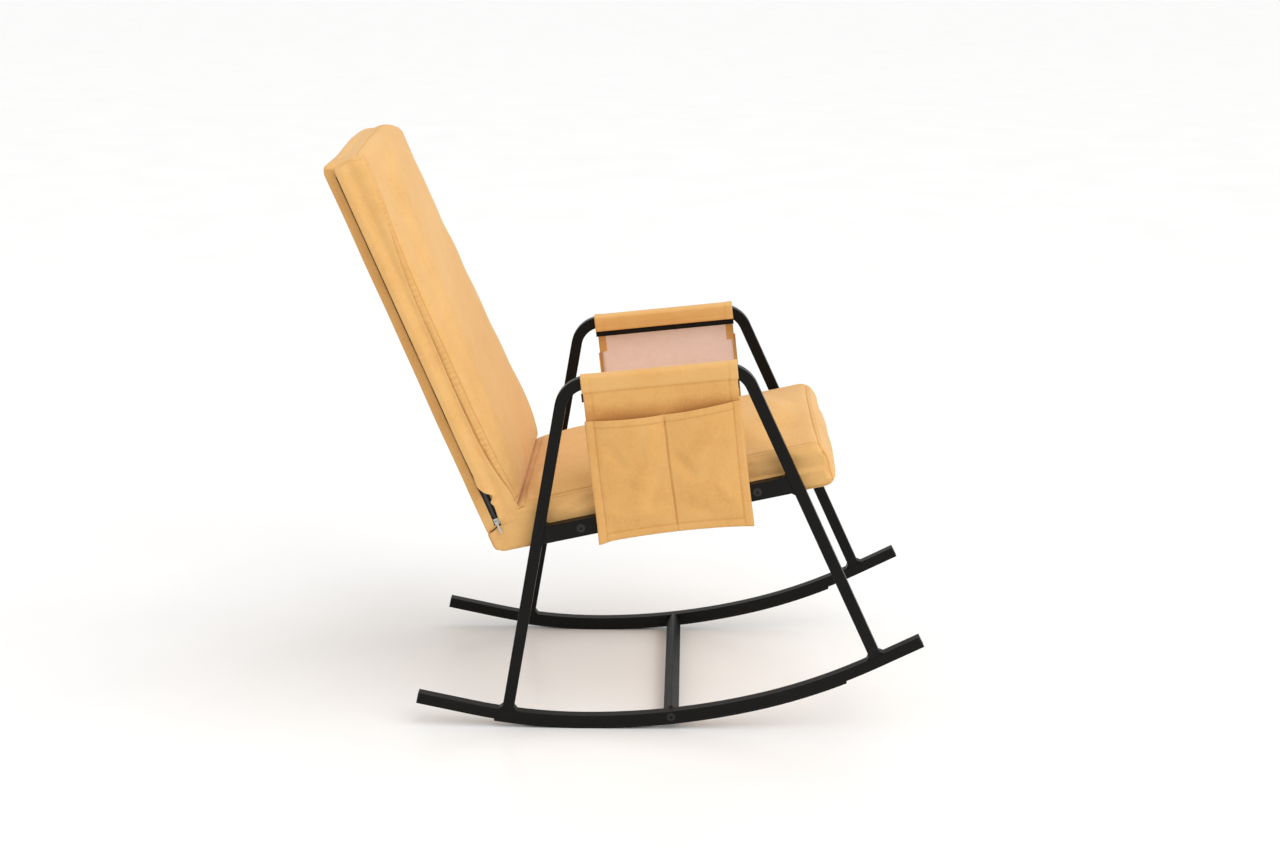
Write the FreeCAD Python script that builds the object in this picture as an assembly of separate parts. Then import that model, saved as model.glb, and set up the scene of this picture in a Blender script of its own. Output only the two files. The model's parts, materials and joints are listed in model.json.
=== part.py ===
import FreeCAD, Part
import math
import os

# ---------------------------------------------------------------------------
# Rocking chair on two curved runners: two welded side frames of square tube,
# one L-shaped upholstered unit bolted between them, and a hanging two-pocket
# organiser over each arm.
#
# Frame: +Z up, floor at Z = 0, the sitter faces -Y, the sitter's right is -X.
# The side profile is written in (u, h): u runs forward from the drawing
# origin, h is the height above the floor, all in millimetres.
# ---------------------------------------------------------------------------

V = FreeCAD.Vector

# ---- driving dimensions (mm, degrees) -------------------------------------
width_outer = 480.0          # over the two side frames
tube = 20.0                  # square tube of the side frames
wall = 1.5                   # tube wall
tube_edge_r = 1.6            # rounding of the tube's long edges
datum_u = 351.0              # u of the row origin (middle of the footprint)

# runner: centre line, from its rear end forward
runner_start = (-28.0, 54.81)
runner_heading = -12.07
runner_rear_straight = 95.8
runner_r1, runner_a1 = 940.0, 12.28
runner_r2, runner_a2 = 1256.0, 13.89
runner_r3, runner_a3 = 980.0, 13.03
runner_front_straight = 89.5
plug_cap = 2.0               # visible cap of each runner end plug
plug_depth = 14.0            # plug spigot inside the tube

# arch: rear leg, arm and front leg bent from one tube
rear_leg_u, rear_leg_h = 205.0, 443.8      # a point on the rear leg's centre line
rear_leg_lean = 10.11                      # from vertical, top forward
front_leg_u, front_leg_h = 637.2, 443.8    # a point on the front leg's centre line
front_leg_lean = 24.64                     # from vertical, top rearward
arm_u, arm_h = 266.3, 629.9                # a point on the arm's centre line
arm_slope = 6.04
arch_bend_r = 50.0

# seat rail between the legs
rail_height = 30.0
rail_u, rail_h = 228.4, 366.3              # a point on the rail's centre line
seat_slope = 12.65
rail_bolt_u = (264.5, 565.3)

# lower crossbar: square tube set on its corner between the runners
crossbar_u = 420.3

# rubber strip under each runner
strip_t = 4.0
strip_w = 18.0
strip_u0, strip_u1 = 107.0, 727.0

# upholstered unit
cushion_half = 219.5         # half width: 0.5 mm clear of the tubes
corner = (115.7, 318.2)      # where the back's rear plane meets the seat's underside
back_lean = 22.38            # back from vertical
cover_t = 2.0                # cover and wadding
seat_len = 603.0             # along the seat, corner to nose
seat_edge_t = 81.0           # boxing height at the sides
seat_crown = 8.0
back_len = 724.0             # along the back, corner to top
back_edge_r = 76.0           # thickness at the sides
back_crown = 7.0
split_b = 38.0               # seam between seat and back on the rear plane

seat_board_t = 10.0
back_board_t = 6.0
seat_tube_t = 22.2           # centre of the inner tubes above the seat's underside
back_tube_r = 12.0           # centre of the inner tubes ahead of the rear plane

# arm organiser
wrap_len = 264.0
wrap_t = 3.0
wrap_drop = 26.0
panel_t = 1.6
lining_t = 0.7
pocket_gap = 5.0
pocket_front_t = 1.5

OUT = "parts"
os.makedirs(OUT, exist_ok=True)


# ---- helpers ---------------------------------------------------------------
def P(u, h, x=0.0):
    return V(x, datum_u - u, h)


def unit(deg):
    a = math.radians(deg)
    return (math.cos(a), math.sin(a))


class Chain:
    """A path of straight runs and tangent arcs in the side plane."""

    def __init__(self, start, heading, parts):
        self.segs = []
        u, h = start
        th = math.radians(heading)
        for p in parts:
            if p[0] == "L":
                e = (u + p[1] * math.cos(th), h + p[1] * math.sin(th))
                self.segs.append(("L", (u, h), e, th))
                u, h = e
            else:
                r, a = p[1], math.radians(p[2])
                sg = 1.0 if a > 0 else -1.0
                c = (u - math.sin(th) * r * sg, h + math.cos(th) * r * sg)
                self.segs.append(("A", c, r, sg, th, a))
                th += a
                u = c[0] + math.sin(th) * r * sg
                h = c[1] - math.cos(th) * r * sg
        self.end = (u, h)
        self.heading_end = th

    def path(self, off):
        """Points of the path moved sideways: (start, [(mid or None, end)])."""
        out = []
        start = None
        for s in self.segs:
            if s[0] == "L":
                n = (-math.sin(s[3]), math.cos(s[3]))
                a = (s[1][0] + n[0] * off, s[1][1] + n[1] * off)
                b = (s[2][0] + n[0] * off, s[2][1] + n[1] * off)
                if start is None:
                    start = a
                out.append((None, b))
            else:
                c, r, sg, th, an = s[1:]
                rr = r - sg * off

                def q(t):
                    return (c[0] + math.sin(t) * rr * sg, c[1] - math.cos(t) * rr * sg)
                if start is None:
                    start = q(th)
                out.append((q(th + an / 2), q(th + an)))
        return start, out

    def height_at(self, u, off=0.0):
        """Height of the offset path at u, by sampling."""
        best = None
        for s in self.segs:
            n = 400
            for i in range(n + 1):
                k = i / n
                if s[0] == "L":
                    nn = (-math.sin(s[3]), math.cos(s[3]))
                    q = (s[1][0] + (s[2][0] - s[1][0]) * k + nn[0] * off,
                         s[1][1] + (s[2][1] - s[1][1]) * k + nn[1] * off)
                else:
                    c, r, sg, th, an = s[1:]
                    rr = r - sg * off
                    t = th + an * k
                    q = (c[0] + math.sin(t) * rr * sg, c[1] - math.cos(t) * rr * sg)
                d = abs(q[0] - u)
                if best is None or d < best[0]:
                    best = (d, q[1])
        return best[1]


def band(chain, lo, hi, x0, x1):
    """Solid between two offsets of a path, x0..x1 across."""
    s0, p0 = chain.path(lo)
    s1, p1 = chain.path(hi)
    edges = []
    a = s0
    for mid, b in p0:
        edges.append(seg(a, mid, b, x0))
        a = b
    e1 = p1[-1][1]
    edges.append(seg(a, None, e1, x0))
    pts = [s1] + [b for _, b in p1]
    for i in range(len(p1) - 1, -1, -1):
        edges.append(seg(pts[i + 1], p1[i][0], pts[i], x0))
    edges.append(seg(s1, None, s0, x0))
    f = Part.Face(Part.Wire(edges))
    return f.extrude(V(x1 - x0, 0, 0))


def seg(a, mid, b, x):
    if mid is None:
        return Part.LineSegment(P(a[0], a[1], x), P(b[0], b[1], x)).toShape()
    return Part.Arc(P(a[0], a[1], x), P(mid[0], mid[1], x), P(b[0], b[1], x)).toShape()


def poly(pts, x0, x1):
    """Prism of a side-plane polygon, x0..x1 across."""
    w = Part.makePolygon([P(u, h, x0) for u, h in pts] + [P(pts[0][0], pts[0][1], x0)])
    return Part.Face(w).extrude(V(x1 - x0, 0, 0))


def rounded(pts, x0, x1):
    """Prism of a side-plane polygon with a radius at each corner: (u, h, r)."""
    n = len(pts)
    edges = []
    first = last = None
    for i in range(n):
        p, c, q = pts[i - 1], pts[i], pts[(i + 1) % n]
        r = c[2]
        if r <= 0:
            a = b = (c[0], c[1])
            mid = None
        else:
            d1 = (p[0] - c[0], p[1] - c[1])
            d2 = (q[0] - c[0], q[1] - c[1])
            l1, l2 = math.hypot(*d1), math.hypot(*d2)
            d1 = (d1[0] / l1, d1[1] / l1)
            d2 = (d2[0] / l2, d2[1] / l2)
            half = math.acos(max(-1, min(1, d1[0] * d2[0] + d1[1] * d2[1]))) / 2
            t = r / math.tan(half)
            a = (c[0] + d1[0] * t, c[1] + d1[1] * t)
            b = (c[0] + d2[0] * t, c[1] + d2[1] * t)
            bis = (d1[0] + d2[0], d1[1] + d2[1])
            bl = math.hypot(*bis)
            k = r / math.sin(half) - r
            mid = (c[0] + bis[0] / bl * k, c[1] + bis[1] / bl * k)
        if last is not None and math.hypot(last[0] - a[0], last[1] - a[1]) > 1e-6:
            edges.append(seg(last, None, a, x0))
        if first is None:
            first = a
        if mid is not None:
            edges.append(seg(a, mid, b, x0))
        last = b
    if math.hypot(last[0] - first[0], last[1] - first[1]) > 1e-6:
        edges.append(seg(last, None, first, x0))
    return Part.Face(Part.Wire(edges)).extrude(V(x1 - x0, 0, 0))


def round_long_edges(solid, x0, x1, r):
    """Round the edges that run along a tube, on both of its side planes."""
    pick = []
    for e in solid.Edges:
        xs = [v.X for v in e.Vertexes]
        if max(xs) - min(xs) > 1e-6:
            continue
        if e.Length > tube + 0.6 or e.Curve.TypeId.endswith("Circle"):
            pick.append(e)
    return solid.makeFillet(r, pick)


def cyl(p, d, r, length):
    return Part.makeCylinder(r, length, p, d)


def biggest(shape):
    return max(shape.Solids, key=lambda s: s.Volume)


def save(name, shape):
    sols = shape.Solids
    if not sols:
        raise RuntimeError("no solid in " + name)
    for s in sols:
        if not s.isValid():
            raise RuntimeError("invalid solid in " + name)
    out = sols[0] if len(sols) == 1 else Part.makeCompound(sols)
    out.exportStep(os.path.join(OUT, name + ".step"))
    MASS[name] = (sum(s.Volume for s in sols),
                  [sum(s.Volume * getattr(s.CenterOfMass, c) for s in sols) for c in "xyz"],
                  len(sols))
    ALL[name] = out


MASS = {}
ALL = {}

half = width_outer / 2
hx0, hx1 = -half, -half + tube           # the right-hand frame's x range


def mirror(shape):
    return shape.mirror(V(0, 0, 0), V(1, 0, 0))


# ---- side frames (built at -X, mirrored to +X) -----------------------------
runner_parts = [("L", runner_rear_straight), ("A", runner_r1, runner_a1),
                ("A", runner_r2, runner_a2), ("A", runner_r3, runner_a3),
                ("L", runner_front_straight)]
runner = Chain(runner_start, runner_heading, runner_parts)
runner_full = band(runner, -tube / 2, tube / 2, hx0, hx1)
r_u = unit(runner_heading)
r_start2 = (runner_start[0] + r_u[0] * plug_cap, runner_start[1] + r_u[1] * plug_cap)
runner_tube_path = Chain(r_start2, runner_heading,
                         [("L", runner_rear_straight - plug_cap)] + runner_parts[1:4]
                         + [("L", runner_front_straight - plug_cap)])
r_out = band(runner_tube_path, -tube / 2, tube / 2, hx0, hx1)
r_out = round_long_edges(r_out, hx0, hx1, tube_edge_r)
r_in = band(runner_tube_path, -tube / 2 + wall, tube / 2 - wall, hx0 + wall, hx1 - wall)
runner_tube = r_out.cut(r_in)

rl = unit(90 - rear_leg_lean)
fl = unit(-(90 - front_leg_lean))
am = unit(arm_slope)


def meet(p, d, q, e):
    """Intersection of two side-plane lines."""
    det = d[0] * (-e[1]) + e[0] * d[1]
    k = ((q[0] - p[0]) * (-e[1]) + e[0] * (q[1] - p[1])) / det
    return (p[0] + d[0] * k, p[1] + d[1] * k)


c_rear = meet((rear_leg_u, rear_leg_h), rl, (arm_u, arm_h), am)
c_front = meet((front_leg_u, front_leg_h), fl, (arm_u, arm_h), am)
turn_r = 90 - rear_leg_lean - arm_slope
turn_f = arm_slope + 90 - front_leg_lean
tan_r = arch_bend_r * math.tan(math.radians(turn_r / 2))
tan_f = arch_bend_r * math.tan(math.radians(turn_f / 2))


def foot(pt, d):
    """Point on a leg's line at the runner's centre line."""
    lo, hi = -800.0, 800.0
    for _ in range(60):
        m = (lo + hi) / 2
        q = (pt[0] + d[0] * m, pt[1] + d[1] * m)
        if q[1] > runner.height_at(q[0], 2.0):
            lo, hi = (m, hi) if d[1] < 0 else (lo, m)
        else:
            lo, hi = (lo, m) if d[1] < 0 else (m, hi)
    return (pt[0] + d[0] * lo, pt[1] + d[1] * lo)


foot_r = foot((rear_leg_u, rear_leg_h), rl)
foot_f = foot((front_leg_u, front_leg_h), fl)
len_r = math.hypot(c_rear[0] - foot_r[0], c_rear[1] - foot_r[1]) - tan_r
len_a = math.hypot(c_front[0] - c_rear[0], c_front[1] - c_rear[1]) - tan_r - tan_f
len_f = math.hypot(c_front[0] - foot_f[0], c_front[1] - foot_f[1]) - tan_f
arch = Chain(foot_r, 90 - rear_leg_lean,
             [("L", len_r), ("A", arch_bend_r, -turn_r), ("L", len_a),
              ("A", arch_bend_r, -turn_f), ("L", len_f)])
a_out = band(arch, -tube / 2, tube / 2, hx0, hx1)
a_full = a_out
a_out = round_long_edges(a_out, hx0, hx1, tube_edge_r)
a_in = band(arch, -tube / 2 + wall, tube / 2 - wall, hx0 + wall, hx1 - wall)
arch_tube = biggest(a_out.cut(a_in).cut(runner_full))

ss = unit(seat_slope)
sn = (-ss[1], ss[0])
bd = unit(90 + back_lean)
bn = (math.cos(math.radians(back_lean)), math.sin(math.radians(back_lean)))
rail_path = Chain((rail_u - 80 * ss[0], rail_h - 80 * ss[1]), seat_slope, [("L", 560.0)])
rail_out = round_long_edges(band(rail_path, -rail_height / 2, rail_height / 2, hx0, hx1),
                            hx0, hx1, tube_edge_r)
rail_in = band(rail_path, -rail_height / 2 + wall, rail_height / 2 - wall,
               hx0 + wall, hx1 - wall)
rail = rail_out.cut(rail_in).cut(a_full)
mid_rail = P(rail_u + 190 * ss[0], rail_h + 190 * ss[1], (hx0 + hx1) / 2)
rail = min(rail.Solids, key=lambda s: (s.CenterOfMass - mid_rail).Length)


# countersunk screw along +X from the frame's outer face
def csk(u, h, length, head_r=7.5, r=4.0, socket=2.5):
    head_d = head_r - r
    base = P(u, h, hx0)
    cone = Part.makeCone(head_r, r, head_d, base, V(1, 0, 0))
    shank = cyl(P(u, h, hx0), V(1, 0, 0), r, length)
    s = cone.fuse(shank).removeSplitter()
    pts = [P(u + socket * 1.1547 * math.cos(math.radians(60 * i)),
             h + socket * 1.1547 * math.sin(math.radians(60 * i)), hx0) for i in range(7)]
    return s.cut(Part.Face(Part.makePolygon(pts)).extrude(V(2.6, 0, 0)))


def csk_cut(u, h, depth, head_r=7.5, r=4.2):
    """Screw head seat plus clearance hole through a tube."""
    cone = Part.makeCone(head_r, 4.0, head_r - 4.0, P(u, h, hx0), V(1, 0, 0))
    return cone.fuse(cyl(P(u, h, hx0), V(1, 0, 0), r, depth))


rail_bolts = []
rivet_nuts = []
inner_x1 = -cushion_half + cover_t           # outer face of the inner frame (right side)
inner_x0 = inner_x1 + tube
nut_holes = []
for bu in rail_bolt_u:
    bh = rail_h + (bu - rail_u) * math.tan(math.radians(seat_slope))
    rail = rail.cut(csk_cut(bu, bh, tube + 1))
    rail_bolts.append(csk(bu, bh, 38.0))
    nut = cyl(P(bu, bh, inner_x1 - 1.0), V(1, 0, 0), 7.5, 1.0)
    nut = nut.fuse(cyl(P(bu, bh, inner_x1), V(1, 0, 0), 5.5, 14.0)).removeSplitter()
    nut = nut.cut(cyl(P(bu, bh, inner_x1 - 2.0), V(1, 0, 0), 4.0, 20.0))
    rivet_nuts.append(nut)
    nut_holes.append((bu, bh))
rail = biggest(rail)

cross_h = runner.height_at(crossbar_u)
runner_tube = biggest(runner_tube.cut(csk_cut(crossbar_u, cross_h, tube + 1)))
crossbar_screw = csk(crossbar_u, cross_h, tube + 16.0)


def diamond(w, r, x0, x1):
    """Square section standing on its corner, along X."""
    b = Part.makeBox(x1 - x0, w, w, V(x0, -w / 2, -w / 2))
    if r > 0:
        es = [e for e in b.Edges if abs(e.Vertexes[0].X - e.Vertexes[1].X) > 1]
        b = b.makeFillet(r, es)
    b.rotate(V(0, 0, 0), V(1, 0, 0), 45)
    b.translate(V(0, datum_u - crossbar_u, cross_h))
    return b


crossbar = diamond(tube, tube_edge_r, hx1, -hx1).cut(diamond(tube - 2 * wall, 0, hx1 - 1, -hx1 + 1))
ins = diamond(tube - 2 * wall, 0, hx1 + 0.5, hx1 + 18.5)
ins = ins.cut(cyl(P(crossbar_u, cross_h, hx1), V(1, 0, 0), 4.0, 30))

# end plugs of the runner
plugs = []
for at_end in (False, True):
    if at_end:
        e = runner.end
        d = unit(math.degrees(runner.heading_end))
        d = (-d[0], -d[1])
    else:
        e = runner_start
        d = r_u
    ch = Chain(e, math.degrees(math.atan2(d[1], d[0])), [("L", plug_cap)])
    cap = band(ch, -tube / 2, tube / 2, hx0, hx1)
    es = []
    for ed in cap.Edges:
        vv = ed.Vertexes
        w0 = [(p.Point - P(e[0], e[1], p.Point.x)).dot(V(0, -d[0], d[1])) for p in vv]
        if abs(w0[0] - w0[1]) > 1:
            es.append(ed)
    cap = cap.makeFillet(tube_edge_r, es)
    q = (e[0] + d[0] * plug_cap, e[1] + d[1] * plug_cap)
    ch2 = Chain(q, math.degrees(math.atan2(d[1], d[0])), [("L", plug_depth)])
    spig = band(ch2, -tube / 2 + wall, tube / 2 - wall, hx0 + wall, hx1 - wall)
    plugs.append(cap.fuse(spig).removeSplitter())

# rubber strip: follows the runner's underside between its two ends
cut_lo = Part.makeBox(60, 4000, 400, V(hx0 - 20, datum_u - strip_u0, -100))
cut_hi = Part.makeBox(60, 4000, 400, V(hx0 - 20, datum_u - strip_u1 - 4000, -100))
sw = (tube - strip_w) / 2
strip = band(runner, -tube / 2 - strip_t, -tube / 2, hx0 + sw, hx1 - sw).cut(cut_lo).cut(cut_hi)
strip = biggest(strip)


# weld beads where the legs and the rail meet
def bead(pt, d1, d2, size):
    """Small triangular bead in the corner between two directions."""
    tri = [pt, (pt[0] + d1[0] * size, pt[1] + d1[1] * size),
           (pt[0] + d2[0] * size, pt[1] + d2[1] * size)]
    back = (pt[0] - (d1[0] + d2[0]) * 1.5, pt[1] - (d1[1] + d2[1]) * 1.5)
    return poly([back, tri[1], tri[2]], hx0 + 1.8, hx1 - 1.8)


def runner_dir(u):
    a = runner.height_at(u + 4, tube / 2)
    b = runner.height_at(u - 4, tube / 2)
    n = math.hypot(8, a - b)
    return (8 / n, (a - b) / n)


beads = []
for base, d in (((rear_leg_u, rear_leg_h), rl),
                ((front_leg_u, front_leg_h), (-fl[0], -fl[1]))):
    for side in (-1, 1):
        n = (d[1] * side, -d[0] * side)
        e0 = (base[0] + n[0] * tube / 2, base[1] + n[1] * tube / 2)
        lo, hi = -700.0, 300.0
        for _ in range(50):
            m = (lo + hi) / 2
            q = (e0[0] + d[0] * m, e0[1] + d[1] * m)
            if q[1] > runner.height_at(q[0], tube / 2):
                hi = m
            else:
                lo = m
        q = (e0[0] + d[0] * hi, e0[1] + d[1] * hi)
        rd = runner_dir(q[0] + 6 * side)
        beads.append(bead(q, d, (rd[0] * side, rd[1] * side), 6.5))
for base, d, side in (((rear_leg_u, rear_leg_h), rl, 1),
                      ((front_leg_u, front_leg_h), (-fl[0], -fl[1]), -1)):
    n = (d[1] * side, -d[0] * side)
    e0 = (base[0] + n[0] * tube / 2, base[1] + n[1] * tube / 2)
    for up in (-1, 1):
        r0 = (rail_u + sn[0] * up * rail_height / 2, rail_h + sn[1] * up * rail_height / 2)
        q = meet(e0, d, r0, ss)
        beads.append(bead(q, (d[0] * up, d[1] * up), (ss[0] * side, ss[1] * side), 4.5))
clean = []
for b in beads:
    c = b.cut(a_full).cut(runner_full).cut(rail_out)
    clean.append(biggest(c))
welds = Part.makeCompound(clean)

save("arch_tube_right", arch_tube)
save("arch_tube_left", mirror(arch_tube))
save("runner_tube_right", runner_tube)
save("runner_tube_left", mirror(runner_tube))
save("seat_rail_right", rail)
save("seat_rail_left", mirror(rail))
save("weld_beads_right", welds)
save("weld_beads_left", mirror(welds))
save("rubber_strip_right", strip)
save("rubber_strip_left", mirror(strip))
save("runner_end_plugs", Part.makeCompound(plugs + [mirror(p) for p in plugs]))
save("crossbar_tube", crossbar)
save("crossbar_threaded_inserts", Part.makeCompound([ins, mirror(ins)]))
save("crossbar_screws", Part.makeCompound([crossbar_screw, mirror(crossbar_screw)]))
save("rail_bolts", Part.makeCompound(rail_bolts + [mirror(b) for b in rail_bolts]))
save("rivet_nuts", Part.makeCompound(rivet_nuts + [mirror(b) for b in rivet_nuts]))


# ---- upholstered unit ------------------------------------------------------
def S(s, t):
    """Seat coordinates: s along the seat, t up from its underside."""
    return (corner[0] + ss[0] * s + sn[0] * t, corner[1] + ss[1] * s + sn[1] * t)


def B(b, r):
    """Back coordinates: b up along the back, r forward from its rear plane."""
    return (corner[0] + bd[0] * b + bn[0] * r, corner[1] + bd[1] * b + bn[1] * r)


def section(kind, i, edge, crown, r_top):
    """Crowned cross-section of a cushion, inset by i on every side."""
    hw = cushion_half - i
    top = edge - i
    rt = r_top
    a = (-hw, i)
    pts = [(-hw, i), (-hw, top - rt)]
    m1 = (-hw + rt * (1 - math.cos(math.radians(45))), top - rt + rt * math.sin(math.radians(45)))
    p2 = (-hw + rt, top)
    c = (0.0, top + crown)
    f = S if kind == "seat" else B

    def Q(x, t):
        if kind == "seat":
            u, h = S(-60, t)
        else:
            u, h = B(-60, t)
        return P(u, h, x)
    edges = [Part.LineSegment(Q(*pts[0]), Q(*pts[1])).toShape(),
             Part.Arc(Q(*pts[1]), Q(*m1), Q(*p2)).toShape(),
             Part.Arc(Q(*p2), Q(*c), Q(-p2[0], p2[1])).toShape(),
             Part.Arc(Q(-p2[0], p2[1]), Q(-m1[0], m1[1]), Q(hw, top - rt)).toShape(),
             Part.LineSegment(Q(hw, top - rt), Q(hw, i)).toShape(),
             Part.LineSegment(Q(hw, i), Q(-hw, i)).toShape()]
    d = ss if kind == "seat" else bd
    return Part.Face(Part.Wire(edges)).extrude(V(0, -d[0], d[1]) * 900)


crease = meet(B(0, back_edge_r), bd, S(0, seat_edge_t), ss)       # seat top meets back front
split_p = B(split_b, 0)
sd = (crease[0] - split_p[0], crease[1] - split_p[1])
sl = math.hypot(*sd)
sd = (sd[0] / sl, sd[1] / sl)
s_norm = (-sd[1], sd[0])                                          # towards the back unit


def seat_solid(i, lift):
    """Seat unit inset by i; lift raises the face towards the back."""
    far = 40.0
    p_rear = (split_p[0] + s_norm[0] * lift - sd[0] * far, split_p[1] + s_norm[1] * lift - sd[1] * far)
    p_front = (crease[0] + s_norm[0] * lift + sd[0] * 0, crease[1] + s_norm[1] * lift)
    a = meet(p_rear, sd, B(0, i), bd)
    top_t = seat_edge_t + seat_crown + 1.0 - i
    b = meet(p_rear, sd, S(0, top_t), ss)
    prof = rounded([(*S(i, i), 16 - i), (*S(seat_len - i, i), 24 - i),
                    (*S(seat_len - i, top_t), 36 - i), (*b, 0), (*a, 0)],
                   -300, 300)
    # the rear lower corner sits on both planes
    return prof.common(section("seat", i, seat_edge_t, seat_crown, 25.0))


def back_solid(i, drop):
    top_r = back_edge_r + back_crown + 1.0 - i
    p = (split_p[0] - s_norm[0] * drop, split_p[1] - s_norm[1] * drop)
    a = meet(p, sd, B(0, i), bd)
    b = meet(p, sd, B(0, top_r), bd)
    prof = rounded([(*a, 0), (*b, 0), (*B(back_len - i, top_r), 26 - i),
                    (*B(back_len - i, i), 9 - i)], -300, 300)
    return prof.common(section("back", i, back_edge_r, back_crown, 22.0))


seat_out = biggest(seat_solid(0.0, -0.2))
back_out = biggest(back_solid(0.0, -0.2))
seat_in = biggest(seat_solid(cover_t, 0.0))
back_in = biggest(back_solid(cover_t, 0.0))
seat_in_x = biggest(seat_solid(cover_t, 3.0))
back_in_x = biggest(back_solid(cover_t, 3.0))

seat_cover = seat_out.cut(seat_in_x).cut(back_in_x)
back_cover = back_out.cut(back_in_x).cut(seat_in_x)

# inner frame: two L tubes and three cross tubes
lt_corner = meet(S(0, seat_tube_t), ss, B(0, back_tube_r), bd)
l_front = S(seat_len - 22.0, seat_tube_t)
l_top = B(back_len - 16.0, back_tube_r)
l_turn = 180 + seat_slope - (90 + back_lean)
l_r = 45.0
l_tan = l_r * math.tan(math.radians(l_turn / 2))
la = math.hypot(l_front[0] - lt_corner[0], l_front[1] - lt_corner[1]) - l_tan
lb = math.hypot(l_top[0] - lt_corner[0], l_top[1] - lt_corner[1]) - l_tan
l_path = Chain(l_front, 180 + seat_slope, [("L", la), ("A", l_r, -l_turn), ("L", lb)])
lx0, lx1 = inner_x1, inner_x0
l_out = band(l_path, -tube / 2, tube / 2, lx0, lx1)
l_solid = round_long_edges(l_out, lx0, lx1, tube_edge_r)
l_tube = l_solid.cut(band(l_path, -tube / 2 + wall, tube / 2 - wall, lx0 + wall, lx1 - wall))
for bu, bh in nut_holes:
    l_tube = l_tube.cut(cyl(P(bu, bh, inner_x1 - 1), V(1, 0, 0), 5.5, 12.0))
l_tube = biggest(l_tube)


def cross_tube(centre, heading):
    o = Chain((centre[0] - unit(heading)[0] * tube / 2, centre[1] - unit(heading)[1] * tube / 2),
              heading, [("L", tube)])
    ii = Chain((centre[0] - unit(heading)[0] * (tube / 2 - wall),
                centre[1] - unit(heading)[1] * (tube / 2 - wall)), heading, [("L", tube - 2 * wall)])
    a = band(o, -tube / 2, tube / 2, lx1, -lx1)
    b = band(ii, -tube / 2 + wall, tube / 2 - wall, lx1 - 1, -lx1 + 1)
    return a.cut(b)


cross_front = cross_tube(S(seat_len - 32.0, seat_tube_t), seat_slope)
cross_rear = cross_tube(S(92.0, seat_tube_t), seat_slope)
cross_top = cross_tube(B(back_len - 26.0, back_tube_r), 90 + back_lean)

# boards: the seat board lies on the inner tubes, the back board ahead of them
sb_top = seat_tube_t + tube / 2
seat_board = poly([S(78, sb_top), S(seat_len - 24, sb_top),
                   S(seat_len - 24, sb_top + seat_board_t), S(78, sb_top + seat_board_t)],
                  -cushion_half + 8, cushion_half - 8)
bb = back_tube_r + tube / 2
back_board = poly([B(96, bb), B(96, bb + back_board_t), B(back_len - 18, bb + back_board_t),
                   B(back_len - 18, bb)], -cushion_half + 8, cushion_half - 8)


def pan_screw(p, d, length):
    """Small pan-head screw: head on p, shank along d."""
    head = cyl(p - d * 1.8, d, 4.0, 1.8)
    return head.fuse(cyl(p, d, 2.0, length)).removeSplitter()


nS = V(0, -sn[0], sn[1])
nB = V(0, -bn[0], bn[1])
seat_screws, back_screws = [], []
seat_holes, back_holes = [], []
lxm = (lx0 + lx1) / 2
for s in (110.0, 330.0, 540.0):
    for sg in (1, -1):
        u, h = S(s, sb_top + seat_board_t)
        seat_screws.append(pan_screw(P(u, h, sg * lxm), nS * -1, seat_board_t + wall + 3))
        seat_holes.append(cyl(P(u, h, sg * lxm) + nS * 5, nS * -1, 2.0, seat_board_t + 10))
for b in (140.0, 330.0, 520.0, back_len - 34.0):
    for sg in (1, -1):
        u, h = B(b, bb + back_board_t)
        back_screws.append(pan_screw(P(u, h, sg * lxm), nB * -1, back_board_t + wall + 3))
        back_holes.append(cyl(P(u, h, sg * lxm) + nB * 5, nB * -1, 2.0, back_board_t + 10))


def drill(shape, screws):
    for s in screws:
        shape = shape.cut(s)
    return shape


l_left = mirror(l_tube)
seat_board = biggest(drill(seat_board, seat_holes))
back_board = biggest(drill(back_board, back_holes))
l_tube = biggest(drill(l_tube, seat_screws + back_screws))
l_left = biggest(drill(l_left, seat_screws + back_screws))

# bolts pass through round holes in the seat cover's sides
for bu, bh in nut_holes:
    hole = cyl(P(bu, bh, -cushion_half - 1), V(1, 0, 0), 7.8, cover_t + 2)
    seat_cover = seat_cover.cut(hole).cut(mirror(hole))
seat_cover = biggest(seat_cover)
back_cover = biggest(back_cover)

# foams: what is left inside the covers. The back's foam lies ahead of its
# board; behind the board the space between the tubes is empty.
lfull = l_out.fuse(mirror(l_out))
crossfull = Part.makeCompound([
    band(Chain((c[0] - unit(hd)[0] * tube / 2, c[1] - unit(hd)[1] * tube / 2), hd, [("L", tube)]),
         -tube / 2, tube / 2, lx1, -lx1)
    for c, hd in ((S(seat_len - 32.0, seat_tube_t), seat_slope), (S(92.0, seat_tube_t), seat_slope),
                  (B(back_len - 26.0, back_tube_r), 90 + back_lean))])
below_board = poly([S(-40, -30), S(seat_len + 40, -30), S(seat_len + 40, sb_top + seat_board_t),
                    S(-40, sb_top + seat_board_t)], -300, 300)
seat_foam = seat_in.cut(lfull)
for c in crossfull.Solids:
    seat_foam = seat_foam.cut(c)
seat_foam = seat_foam.cut(below_board)
behind = poly([B(-40, -20), B(-40, bb + back_board_t), B(back_len + 40, bb + back_board_t),
               B(back_len + 40, -20)], -300, 300)
seat_foam = biggest(drill(seat_foam.cut(behind), seat_screws))
back_foam = back_in.cut(behind)
back_foam = drill(back_foam, back_screws)
back_foam = biggest(back_foam)

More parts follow.
